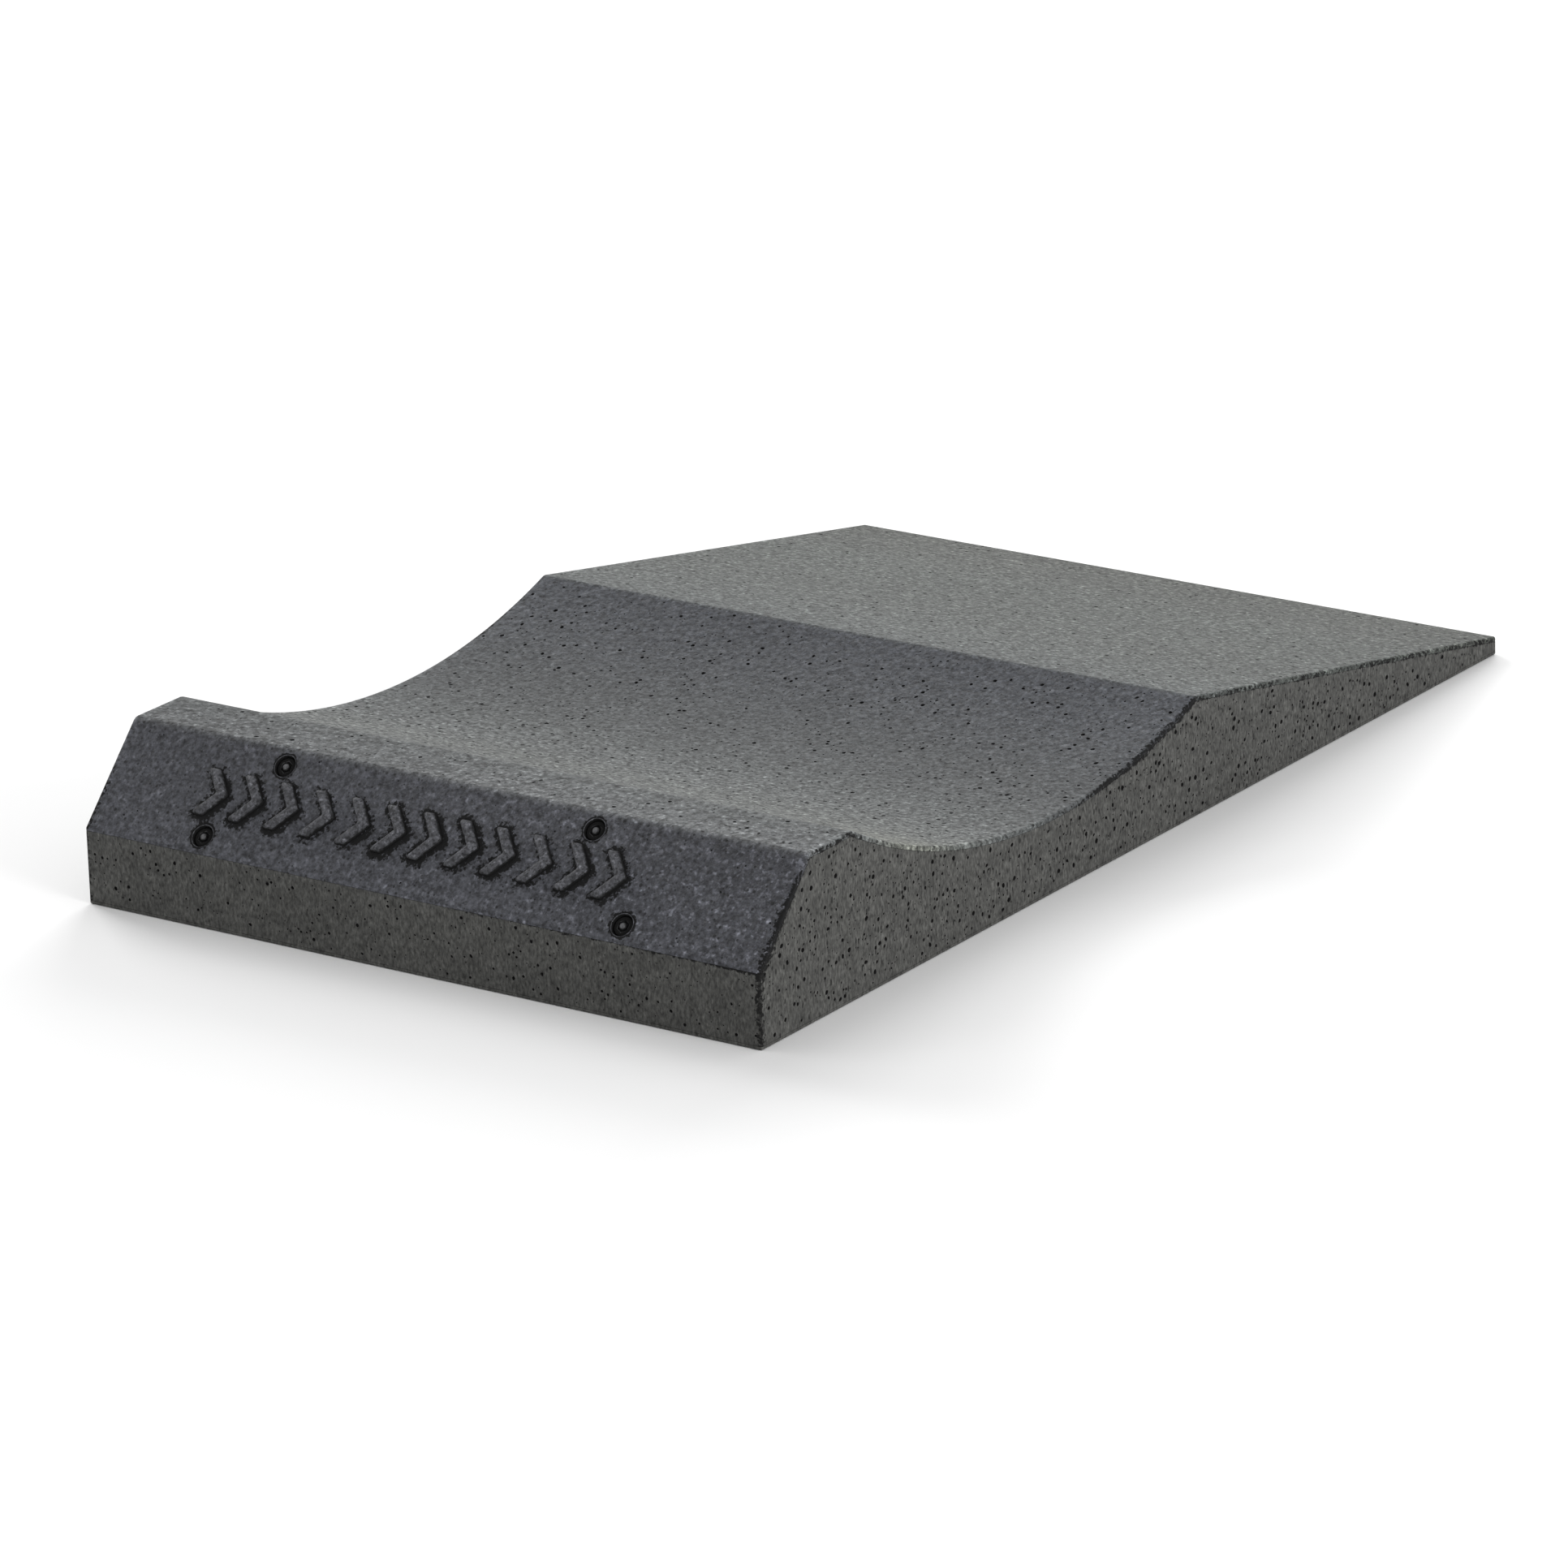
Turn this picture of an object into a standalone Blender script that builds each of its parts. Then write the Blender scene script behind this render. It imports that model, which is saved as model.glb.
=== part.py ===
"""Tyre cradle: a low foam ramp with a dished seat that a parked car's tyre stands in.

A foam core carries the load. A hard coat covers it in three layers: the base coat under it, the side
coat round its edge, and the thick tread coat over the bevel, the lip, the dish and the ramp. A badge
plate lies in the core under the tread coat. Its raised blocks and its four screw cups come up through
the coat, and four screws hold it in barbed plugs in the foam.

Frame: +X across the width, +Y from the nose to the thin tail, +Z up. The origin is the middle of the
underside. All sizes are in metres.
"""

import math

import bmesh
import bpy
from mathutils import Matrix, Vector

# Side view, measured from the foot of the nose
WIDTH = 0.356
LENGTH = 0.603
NOSE_HEIGHT = 0.035
LIP_HEIGHT = 0.075
BEVEL_RUN = 0.0375
LIP_END = 0.070
PEAK_FROM_NOSE = 0.339
PEAK_HEIGHT = 0.056
TAIL_HEIGHT = 0.0085
TYRE_RADIUS = 0.326
DISH_STEPS = 28

# Layers of the hard coat, and the gap between touching pieces
BASE_COAT = 0.0015
SIDE_COAT = 0.0015
TREAD_COAT = 0.0022
GAP = 0.0003

# Badge plate, in the bevel's own frame: x across, y up the slope, z out of the face
PLATE_THICKNESS = 0.002
PLATE_MIDDLE = -0.0085
PLATE_WIDTH = 0.250
PLATE_FOOT = 0.0012
PLATE_HEIGHT = 0.0514
PLATE_CORNER = 0.006
LOWER_ROW = {"height": 0.0074, "middle": -0.006, "half_spread": 0.111}
UPPER_ROW = {"height": 0.0463, "middle": -0.009, "half_spread": 0.082}
CUP_RADIUS = 0.0057
CUP_BORE = 0.0051
CUP_FLOOR = 0.0015
CUP_SINK = 0.0002
CHEVRONS = 12
CHEVRON_MIDDLE = -0.0145
CHEVRON_PITCH = 0.0192
CHEVRON_HEIGHT = 0.0224
CHEVRON_REACH = 0.009
CHEVRON_STROKE = 0.0065
CHEVRON_RISE = 0.0022
CHEVRON_FOOT = 0.0162

# Screws and plugs
HEAD_RADIUS = 0.0045
HEAD_HEIGHT = 0.0014
HEAD_CHAMFER = 0.0004
SHANK_RADIUS = 0.0018
THREAD_RADIUS = 0.0022
THREADS = 5
THREAD_PITCH = 0.003
NECK_LENGTH = 0.004
POINT_LENGTH = 0.003
SOCKET_ACROSS = 0.005
SOCKET_DEPTH = 0.0009
PIN_RADIUS = 0.0016
PIN_RISE = 0.0009
PLUG_RADIUS = 0.004
BARB_RADIUS = 0.005
BARBS = 4
BARB_PITCH = 0.0055
PLUG_FLANGE = 0.001
PLUG_BORE = THREAD_RADIUS + GAP
ROUND_SIDES = 16

MATERIALS = {
    "foam": ((0.80, 0.80, 0.78), 0.9),
    "tread": ((0.17, 0.175, 0.175), 0.85),
    "side": ((0.11, 0.11, 0.105), 0.8),
    "badge": ((0.10, 0.10, 0.11), 0.75),
    "screw": ((0.09, 0.09, 0.10), 0.6),
    "plug": ((0.05, 0.05, 0.05), 0.6),
}


def clear_scene():
    for obj in list(bpy.data.objects):
        bpy.data.objects.remove(obj)


def new_collection(name, hidden=False):
    collection = bpy.data.collections.new(name)
    bpy.context.scene.collection.children.link(collection)
    collection.hide_render = hidden
    return collection


def make_materials():
    made = {}
    for name, (colour, roughness) in MATERIALS.items():
        material = bpy.data.materials.new(name)
        material.use_nodes = True
        shader = material.node_tree.nodes["Principled BSDF"]
        shader.inputs["Base Color"].default_value = (*colour, 1.0)
        shader.inputs["Roughness"].default_value = roughness
        shader.inputs["Metallic"].default_value = 0.0
        made[name] = material
    return made


# ---- Side view ---------------------------------------------------------------------------------


def dish_centre():
    """Centre of the tyre-sized circle that passes through the lip's inner edge and the ramp's peak."""
    a = Vector((LIP_END, LIP_HEIGHT))
    b = Vector((PEAK_FROM_NOSE, PEAK_HEIGHT))
    chord = b - a
    across = Vector((-chord.y, chord.x)).normalized()
    return (a + b) / 2 + across * math.sqrt(TYRE_RADIUS**2 - (chord.length / 2) ** 2)


def surface_line():
    """The running surface from the top of the nose to the tail, as (distance from nose, height)."""
    centre = dish_centre()
    first = math.atan2(LIP_HEIGHT - centre.y, LIP_END - centre.x)
    last = math.atan2(PEAK_HEIGHT - centre.y, PEAK_FROM_NOSE - centre.x)
    line = [Vector((0, NOSE_HEIGHT)), Vector((BEVEL_RUN, LIP_HEIGHT))]
    for i in range(DISH_STEPS + 1):
        angle = first + (last - first) * i / DISH_STEPS
        line.append(centre + TYRE_RADIUS * Vector((math.cos(angle), math.sin(angle))))
    return line + [Vector((LENGTH, TAIL_HEIGHT))]


def sunk(line, depth):
    """The line moved into the body by depth, with mitred corners. It still ends at the tail's face."""
    headings = [(b - a).normalized() for a, b in zip(line, line[1:])]
    inward = [Vector((h.y, -h.x)) for h in headings]
    moved = [line[0] + inward[0] * depth]
    for i in range(1, len(line) - 1):
        mitre = (inward[i - 1] + inward[i]).normalized()
        moved.append(line[i] + mitre * depth / mitre.dot(inward[i]))
    last = line[-1] + inward[-1] * depth
    moved.append(last + headings[-1] * (LENGTH - last.x) / headings[-1].x)
    return moved


def height_at(line, distance):
    """Height of a line at a distance from the nose, its end stretches carried on past their ends."""
    pairs = list(zip(line, line[1:]))
    a, b = next(((a, b) for a, b in pairs if distance <= b.x), pairs[-1])
    return a.y + (b.y - a.y) * (distance - a.x) / (b.x - a.x)


def between(line, start, end):
    """The stretch of a line from one distance to another."""
    inner = [p for p in line if start < p.x < end]
    return [Vector((start, height_at(line, start))), *inner, Vector((end, height_at(line, end)))]


# ---- Solids ------------------------------------------------------------------------------------

# Turns an outline of (distance, height) into a slab across the width, nose at -Y
SIDE_VIEW = Matrix(((0, 0, 1, 0), (1, 0, 0, -LENGTH / 2), (0, 1, 0, 0), (0, 0, 0, 1)))


def slab(name, outline, thickness, collection, place):
    """A flat outline given a thickness, half to each side of its plane, as a closed mesh object."""
    curve = bpy.data.curves.new(name, "CURVE")
    curve.dimensions = "2D"
    curve.fill_mode = "BOTH"
    curve.extrude = thickness / 2
    spline = curve.splines.new("POLY")
    spline.points.add(len(outline) - 1)
    for point, (u, v) in zip(spline.points, outline):
        point.co = (u, v, 0, 1)
    spline.use_cyclic_u = True
    drawn = bpy.data.objects.new(name, curve)
    collection.objects.link(drawn)
    drawn.matrix_world = place
    bpy.context.view_layer.update()
    graph = bpy.context.evaluated_depsgraph_get()
    mesh = bpy.data.meshes.new_from_object(drawn.evaluated_get(graph))
    bpy.data.objects.remove(drawn)
    edit = bmesh.new()
    edit.from_mesh(mesh)
    bmesh.ops.remove_doubles(edit, verts=edit.verts, dist=1e-6)
    bmesh.ops.recalc_face_normals(edit, faces=edit.faces)
    edit.to_mesh(mesh)
    edit.free()
    solid = bpy.data.objects.new(name, mesh)
    collection.objects.link(solid)
    solid.matrix_world = place
    return solid


def cylinder(name, radius, low, high, collection, place, sides=ROUND_SIDES):
    """A closed cylinder or prism from low to high along its own z axis."""
    mesh = bpy.data.meshes.new(name)
    edit = bmesh.new()
    bmesh.ops.create_cone(
        edit,
        cap_ends=True,
        segments=sides,
        radius1=radius,
        radius2=radius,
        depth=high - low,
        matrix=Matrix.Translation((0, 0, (low + high) / 2)),
    )
    edit.to_mesh(mesh)
    edit.free()
    obj = bpy.data.objects.new(name, mesh)
    collection.objects.link(obj)
    obj.matrix_world = place
    return obj


def box(name, low, high, collection):
    mesh = bpy.data.meshes.new(name)
    edit = bmesh.new()
    bmesh.ops.create_cube(edit, size=1)
    low, high = Vector(low), Vector(high)
    bmesh.ops.scale(edit, vec=high - low, verts=edit.verts)
    bmesh.ops.translate(edit, vec=(low + high) / 2, verts=edit.verts)
    edit.to_mesh(mesh)
    edit.free()
    obj = bpy.data.objects.new(name, mesh)
    collection.objects.link(obj)
    return obj


def turned(name, profile, collection, place):
    """A profile of (radius, height), from the top down its outer side, turned about its z axis."""
    mesh = bpy.data.meshes.new(name)
    mesh.from_pydata([(r, 0, z) for r, z in profile], [(i, i + 1) for i in range(len(profile) - 1)], [])
    obj = bpy.data.objects.new(name, mesh)
    collection.objects.link(obj)
    obj.matrix_world = place
    screw = obj.modifiers.new("turn", "SCREW")
    screw.axis = "Z"
    screw.steps = ROUND_SIDES
    screw.render_steps = ROUND_SIDES
    screw.use_merge_vertices = True
    screw.merge_threshold = 0.00005
    return obj


def combine(obj, other, operation):
    modifier = obj.modifiers.new(f"{operation.lower()} {other.name}", "BOOLEAN")
    modifier.operation = operation
    modifier.solver = "EXACT"
    modifier.object = other


def helper(obj):
    obj.hide_render = True
    obj.display_type = "WIRE"
    return obj


# ---- The bevel's own frame ---------------------------------------------------------------------


def bevel_place():
    """Middle of the bevel's foot, with x across, y up the slope and z out of the face."""
    slope = Vector((0, BEVEL_RUN, LIP_HEIGHT - NOSE_HEIGHT)).normalized()
    across = Vector((1, 0, 0))
    out = across.cross(slope)
    turn = Matrix((across, slope, out)).transposed().to_4x4()
    return Matrix.Translation((0, -LENGTH / 2, NOSE_HEIGHT)) @ turn


def cup_centres():
    """The four screw places on the bevel, by name."""
    found = {}
    for level, row in (("lower", LOWER_ROW), ("upper", UPPER_ROW)):
        for side, sign in (("left", -1), ("right", 1)):
            found[f"{level}_{side}"] = Vector((row["middle"] + sign * row["half_spread"], row["height"], 0))
    return found


def plate_outline(margin):
    """The plate's rounded rectangle, grown by margin on every side."""
    radius = PLATE_CORNER + margin
    half = PLATE_WIDTH / 2 - PLATE_CORNER
    low, high = PLATE_FOOT + PLATE_CORNER, PLATE_FOOT + PLATE_HEIGHT - PLATE_CORNER
    corners = [(half, high), (-half, high), (-half, low), (half, low)]
    outline = []
    steps = 5
    for quarter, (x, y) in enumerate(corners):
        for k in range(steps + 1):
            angle = (quarter + k / steps) * math.pi / 2
            outline.append((PLATE_MIDDLE + x + radius * math.cos(angle), y + radius * math.sin(angle)))
    return outline


def chevron_outline(index, margin):
    """One chevron of the row, pointing towards +x, grown by margin on every side."""
    row_width = (CHEVRONS - 1) * CHEVRON_PITCH + CHEVRON_REACH + CHEVRON_STROKE
    left = CHEVRON_MIDDLE - row_width / 2 + index * CHEVRON_PITCH
    half = CHEVRON_HEIGHT / 2
    centre = CHEVRON_FOOT + half
    lean = math.atan2(half, CHEVRON_REACH)
    sideways = margin / math.sin(lean)
    overhang = margin * CHEVRON_REACH / half
    foot = half + margin
    return [
        (left - sideways - overhang, centre - foot),
        (left + CHEVRON_STROKE + sideways - overhang, centre - foot),
        (left + CHEVRON_STROKE + CHEVRON_REACH + sideways, centre),
        (left + CHEVRON_STROKE + sideways - overhang, centre + foot),
        (left - sideways - overhang, centre + foot),
        (left + CHEVRON_REACH - sideways, centre),
    ]


def raised_slab(name, outline, low, high, collection):
    """A slab standing on the bevel, from low to high out of its face."""
    place = bevel_place() @ Matrix.Translation((0, 0, (low + high) / 2))
    return slab(name, outline, high - low, collection, place)


# ---- Pieces ------------------------------------------------------------------------------------


def make_base_coat(parts):
    half = Vector((WIDTH / 2, LENGTH / 2, 0))
    return box("base_coat", (-half.x, -half.y, 0), (half.x, half.y, BASE_COAT), parts)


def make_side_coat(parts, cutters):
    """A band round the edge, up to the tread coat's underside."""
    line = surface_line()
    slope = (line[1] - line[0]).normalized()
    under = sunk(line, TREAD_COAT + GAP)
    foot = BASE_COAT + GAP
    start = under[0] - slope * GAP
    nose_top = start + Vector((-slope.y, slope.x)) * start.x / slope.y
    outline = [(0, foot), nose_top, start, *under[1:], (LENGTH, foot)]
    band = slab("side_coat", outline, WIDTH, parts, SIDE_VIEW)
    inner = Vector((WIDTH / 2 - SIDE_COAT, LENGTH / 2 - SIDE_COAT, LIP_HEIGHT))
    middle = box("side_coat_middle", (-inner.x, -inner.y, -inner.z), inner, cutters)
    combine(band, helper(middle), "DIFFERENCE")
    return band


def make_foam_core(parts, cutters):
    """The foam body, with a pocket for the badge plate and four holes for the plugs."""
    edge = SIDE_COAT + GAP
    foot = BASE_COAT + GAP
    top = between(sunk(surface_line(), TREAD_COAT + GAP), edge, LENGTH - edge)
    outline = [(edge, foot), *top, (LENGTH - edge, foot)]
    core = slab("foam_core", outline, WIDTH - 2 * edge, parts, SIDE_VIEW)
    surface = -(TREAD_COAT + GAP)
    floor = surface - PLATE_THICKNESS - GAP
    pocket = raised_slab("plate_pocket", plate_outline(GAP), floor, 0.001, cutters)
    combine(core, helper(pocket), "DIFFERENCE")
    depth = PLUG_FLANGE + BARBS * BARB_PITCH + 2 * GAP
    for name, centre in cup_centres().items():
        place = bevel_place() @ Matrix.Translation(centre)
        hole = cylinder(f"plug_hole_{name}", BARB_RADIUS + GAP, floor - depth, 0.001, cutters, place)
        combine(core, helper(hole), "DIFFERENCE")
    return core


def make_tread_coat(parts, cutters):
    """The thick top layer, pierced by the badge's blocks and its four screw cups."""
    line = surface_line()
    under = sunk(line, TREAD_COAT)
    coat = slab("tread_coat", [*line, *reversed(under)], WIDTH, parts, SIDE_VIEW)
    reach = 2 * TREAD_COAT
    for i in range(CHEVRONS):
        window = raised_slab(f"window_{i + 1}", chevron_outline(i, GAP), -reach, reach, cutters)
        combine(coat, helper(window), "DIFFERENCE")
    for name, centre in cup_centres().items():
        place = bevel_place() @ Matrix.Translation(centre)
        hole = cylinder(f"cup_hole_{name}", CUP_RADIUS + GAP, -reach, reach, cutters, place)
        combine(coat, helper(hole), "DIFFERENCE")
    return coat


def make_badge_plate(parts, cutters):
    """The plate, its raised blocks and its four screw cups, as one moulding."""
    top = -(TREAD_COAT + GAP)
    floor = top - PLATE_THICKNESS
    bite = PLATE_THICKNESS / 2
    plate = raised_slab("badge_plate", plate_outline(0), floor, top, parts)
    for i in range(CHEVRONS):
        block = raised_slab(f"block_{i + 1}", chevron_outline(i, 0), top - bite, CHEVRON_RISE, cutters)
        combine(plate, helper(block), "UNION")
    for name, centre in cup_centres().items():
        place = bevel_place() @ Matrix.Translation(centre)
        cup = cylinder(f"cup_{name}", CUP_RADIUS, top - bite, -CUP_SINK, cutters, place)
        combine(plate, helper(cup), "UNION")
        bore = cylinder(f"cup_bore_{name}", CUP_BORE, floor + CUP_FLOOR, 0.002, cutters, place)
        combine(plate, helper(bore), "DIFFERENCE")
        hole = cylinder(f"shank_hole_{name}", THREAD_RADIUS + GAP, floor - bite, 0.002, cutters, place)
        combine(plate, helper(hole), "DIFFERENCE")
    return plate


def screw_profile():
    """Pin, head, neck, ribbed shank and point, with the head's top at height 0."""
    profile = [
        (0, PIN_RISE),
        (PIN_RADIUS, PIN_RISE),
        (PIN_RADIUS, 0),
        (HEAD_RADIUS - HEAD_CHAMFER, 0),
        (HEAD_RADIUS, -HEAD_CHAMFER),
        (HEAD_RADIUS, -HEAD_HEIGHT),
        (SHANK_RADIUS, -HEAD_HEIGHT),
    ]
    height = -HEAD_HEIGHT - NECK_LENGTH
    for _ in range(THREADS):
        profile.append((SHANK_RADIUS, height))
        profile.append((THREAD_RADIUS, height - THREAD_PITCH / 3))
        height -= THREAD_PITCH
    return profile + [(SHANK_RADIUS, height), (0, height - POINT_LENGTH)]


def make_screws(parts, cutters):
    """Four identical screws, each with a six-sided socket round a pin that stands above the head."""
    head_top = -(TREAD_COAT + GAP) - PLATE_THICKNESS + CUP_FLOOR + GAP + HEAD_HEIGHT
    screws = []
    for name, centre in cup_centres().items():
        place = bevel_place() @ Matrix.Translation(centre + Vector((0, 0, head_top)))
        screw = turned(f"badge_screw_{name}", screw_profile(), parts, place)
        across = SOCKET_ACROSS / 2 / math.cos(math.pi / 6)
        socket = cylinder(f"socket_{name}", across, -SOCKET_DEPTH, 0.001, cutters, place, sides=6)
        pin = cylinder(f"socket_pin_{name}", PIN_RADIUS - GAP / 3, -0.002, 0.002, cutters, place)
        combine(socket, helper(pin), "DIFFERENCE")
        combine(screw, helper(socket), "DIFFERENCE")
        screws.append(screw)
    return screws


def plug_profile():
    """Outer side of a barbed plug, from its flange at height 0 down to its foot."""
    profile = [(PLUG_BORE, 0), (BARB_RADIUS, 0), (BARB_RADIUS, -PLUG_FLANGE)]
    height = -PLUG_FLANGE
    for _ in range(BARBS):
        profile.append((PLUG_RADIUS - 0.0008, height))
        profile.append((BARB_RADIUS, height - 0.3 * BARB_PITCH))
        height -= BARB_PITCH
    return profile + [(PLUG_RADIUS - 0.0008, height), (PLUG_BORE, height), (PLUG_BORE, 0)]


def make_plugs(parts):
    """Four barbed plugs, pushed into the foam under the plate."""
    top = -(TREAD_COAT + GAP) - PLATE_THICKNESS - 2 * GAP
    plugs = []
    for name, centre in cup_centres().items():
        place = bevel_place() @ Matrix.Translation(centre + Vector((0, 0, top)))
        plugs.append(turned(f"foam_plug_{name}", plug_profile(), parts, place))
    return plugs


def main():
    clear_scene()
    parts = new_collection("tyre_cradle")
    cutters = new_collection("cutters", hidden=True)
    materials = make_materials()
    made = {
        "side": [make_base_coat(parts), make_side_coat(parts, cutters)],
        "foam": [make_foam_core(parts, cutters)],
        "tread": [make_tread_coat(parts, cutters)],
        "badge": [make_badge_plate(parts, cutters)],
        "screw": make_screws(parts, cutters),
        "plug": make_plugs(parts),
    }
    for name, objects in made.items():
        for obj in objects:
            obj.data.materials.clear()
            obj.data.materials.append(materials[name])


main()
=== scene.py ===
"""Looks of the tyre cradle: pitted and grained hard coat, raised badge, recessed screws, studio."""

import bisect
import math
import random

import bmesh
import bpy
from mathutils import Matrix, Vector, noise
from mathutils.geometry import delaunay_2d_cdt

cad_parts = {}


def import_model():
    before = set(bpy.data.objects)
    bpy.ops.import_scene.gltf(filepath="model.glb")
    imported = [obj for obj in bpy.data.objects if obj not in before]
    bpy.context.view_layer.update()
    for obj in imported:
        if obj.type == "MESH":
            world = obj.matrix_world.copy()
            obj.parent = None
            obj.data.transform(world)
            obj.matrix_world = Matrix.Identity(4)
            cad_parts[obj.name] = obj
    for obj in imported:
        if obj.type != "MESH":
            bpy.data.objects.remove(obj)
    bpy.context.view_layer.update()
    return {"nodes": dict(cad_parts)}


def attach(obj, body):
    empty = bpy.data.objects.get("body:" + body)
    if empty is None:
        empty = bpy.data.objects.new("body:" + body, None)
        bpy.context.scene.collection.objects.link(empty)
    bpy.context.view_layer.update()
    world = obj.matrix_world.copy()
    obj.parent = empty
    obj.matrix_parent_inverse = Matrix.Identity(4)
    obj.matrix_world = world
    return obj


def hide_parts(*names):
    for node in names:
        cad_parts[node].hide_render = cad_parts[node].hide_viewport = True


# ---- Sizes, in millimetres, with y from the foot of the nose ----
WIDTH, LENGTH = 356.0, 603.0
HALF, MIDDLE = WIDTH / 2, LENGTH / 2
NOSE_HEIGHT, LIP_HEIGHT = 35.0, 75.0
BEVEL_RUN, LIP_END = 37.5, 70.0
PEAK, PEAK_HEIGHT = 339.0, 56.0
TAIL_HEIGHT = 8.5
TYRE_RADIUS = 326.0
BASE_COAT, SIDE_COAT, TREAD_COAT = 1.5, 1.5, 2.2
SEAM = 0.15
EDGE_RADIUS = 1.0
EDGE_STEPS = 4
UNEVEN_EDGE = 0.10
NOSE_ROUND, BEVEL_TOP_ROUND, LIP_ROUND, PEAK_ROUND, TAIL_ROUND = 1.3, 4.5, 7.0, 3.5, 1.2
NOSE_DROP, TAIL_DROP = 1.2, 1.9

# Spacing of the points that fill a face and its outline: everywhere, on the bevel, up the bevel's ends,
# and so wide that a face gets none
CELL, BEVEL_CELL, BEVEL_ROW, NO_CELL = 5.0, 1.7, 2.5, 1000
NOSE_LEVELS, TAIL_LEVELS = 7, 2
SHARP_ANGLE = 35.0

# Distances below TINY count as none. Vertices closer than MERGE, in metres, become one.
TINY, MERGE = 1e-6, 3e-6

# Pits (how many, smallest and largest radius)
LIP_PITS = (90, (0.4, 1.15))
DISH_PITS = (1550, (0.4, 1.15))
RAMP_PITS = (620, (0.4, 1.15))
BEVEL_PITS = (46, (0.3, 0.6))
SIDE_PITS = (820, (0.38, 1.25))
NOSE_PITS = (300, (0.32, 0.95))
TAIL_PITS = (24, (0.3, 0.6))
PIT_MARGIN, PIT_GAP, SQUARE = 0.7, 0.4, 4.0

# Marks are how dark a face is, from 0 to 1: painted shade in pits, cups, screw sockets, at the chevrons' feet
# and along the coat's edges, and a dark line down the nose's corners. FAR is the longest distance kept from
# an edge with a painted dark line. SHADOW_DRIFT is how far the painted shadow next to the chevrons lies off
# to their lower right.
# Distances to chevrons, cups and the nose's corners are multiplied by their pull, so that the painted line is
# wide where it is below 1 and thin above.
EDGE_SHADE_MARKS, CORNER_MARK = (0.0, 0.0, 0.08, 0.2, 0.4), 0.3
SWELL_SHADE_MARKS = (1.0, 1.0, 0.9, 0.4, 0.0, 0.0)
CUP_SHADE_MARKS = (1.0, 0.5, 0.15, 0.1, 0.6, 1.0, 1.0, 1.0)
FAR = 8.0
SHADOW_DRIFT = (1.2, -0.9)
BLOCK_SHADE_PULL, CUP_SHADE_PULL, CORNER_PULL = 0.8, 2.0, 0.8

# Where along the length the painted shade line along the side edges is strong (middle, reach)
BEVEL_EDGE_SHADE, PEAK_EDGE_SHADE = (12.0, 18.0), (300.0, 50.0)

# Badge, in the bevel's own frame: x across, y up the slope, depth into the face
PLATE_THICKNESS = 2.0
PLATE_MIDDLE, PLATE_WIDTH, PLATE_FOOT, PLATE_HEIGHT, PLATE_CORNER = -8.5, 250.0, 1.2, 51.4, 6.0
CUPS = {
    "lower_left": (-117.0, 7.4),
    "lower_right": (105.0, 7.4),
    "upper_left": (-91.0, 46.3),
    "upper_right": (73.0, 46.3),
}
CUP_RADIUS, CUP_BORE, CUP_FLOOR = 5.7, 5.1, 1.5
CIRCLE_SIDES = 24
CHEVRONS, CHEVRON_MIDDLE, CHEVRON_PITCH = 12, -14.5, 19.2
CHEVRON_HEIGHT, CHEVRON_REACH, CHEVRON_STROKE, CHEVRON_FOOT = 22.4, 9.0, 6.5, 16.2
CHEVRON_ROUND = 1.1
SHANK_HOLE = 2.5
HEAD_RADIUS, HEAD_HEIGHT, SOCKET_DEPTH, PIN_RADIUS, PIN_RISE = 4.5, 1.4, 0.9, 1.6, 0.9
SOCKET_RADII = (2.4, 2.5, 2.7)
SHANK_RADIUS, RIB_RADIUS, RIBS, RIB_PITCH = 1.8, 2.2, 5, 3.0


# ---- Closed shells built vertex by vertex ----


class Shell:
    """A mesh whose vertices are shared by place, with a mark on the corners of each face."""

    def __init__(self):
        self.places, self.verts, self.faces, self.marks = {}, [], [], []

    def vertex(self, co):
        key = (round(co[0], 3), round(co[1], 3), round(co[2], 3))
        if key not in self.places:
            self.places[key] = len(self.verts)
            self.verts.append(co)
        return self.places[key]

    def face(self, corners, mark=0.0):
        """Adds a face from places in order, leaving out repeated corners and empty faces."""
        ids = []
        for co in corners:
            i = self.vertex(co)
            if i not in ids:
                ids.append(i)
        if len(ids) > 2:
            self.faces.append(ids)
            self.marks.append(mark)

    def strip(self, first, second, mark=0.0):
        """Quads between two rows of places of equal length."""
        for i in range(len(first) - 1):
            self.face([first[i], first[i + 1], second[i + 1], second[i]], mark)

    def strips(self, rows, marks=None):
        """A strip from each row to the next, each with its mark."""
        for first, second, mark in zip(rows, rows[1:], marks or [0.0] * len(rows)):
            self.strip(first, second, mark)

    def build(self, name, material, rim=None):
        """Makes the object. rim gives each place's distance, up to FAR, from an edge that gets a painted dark
        line: painted shade along the coat's edges and round the badge's work, a dark line down the nose's
        corners.
        """
        mesh = bpy.data.meshes.new(name)
        verts = [(x / 1000, (y - MIDDLE) / 1000, z / 1000) for x, y, z in self.verts]
        mesh.from_pydata(verts, [], self.faces)
        # The pit attribute holds each face's mark: painted shade in pits, recesses and along edges, and the
        # nose corners' dark line.
        mark = mesh.attributes.new("pit", "FLOAT", "CORNER")
        mark.data.foreach_set("value", [m for f, m in zip(self.faces, self.marks) for _ in f])
        near = mesh.attributes.new("rim", "FLOAT", "POINT")
        near.data.foreach_set("value", [rim(*co) / FAR if rim else 1.0 for co in self.verts])
        mesh.validate()
        obj = bpy.data.objects.new(name, mesh)
        bpy.context.scene.collection.objects.link(obj)
        mesh.materials.append(material)
        orient(mesh)
        for polygon in mesh.polygons:
            polygon.use_smooth = True
        mesh.set_sharp_from_angle(angle=math.radians(SHARP_ANGLE))
        return obj


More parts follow.
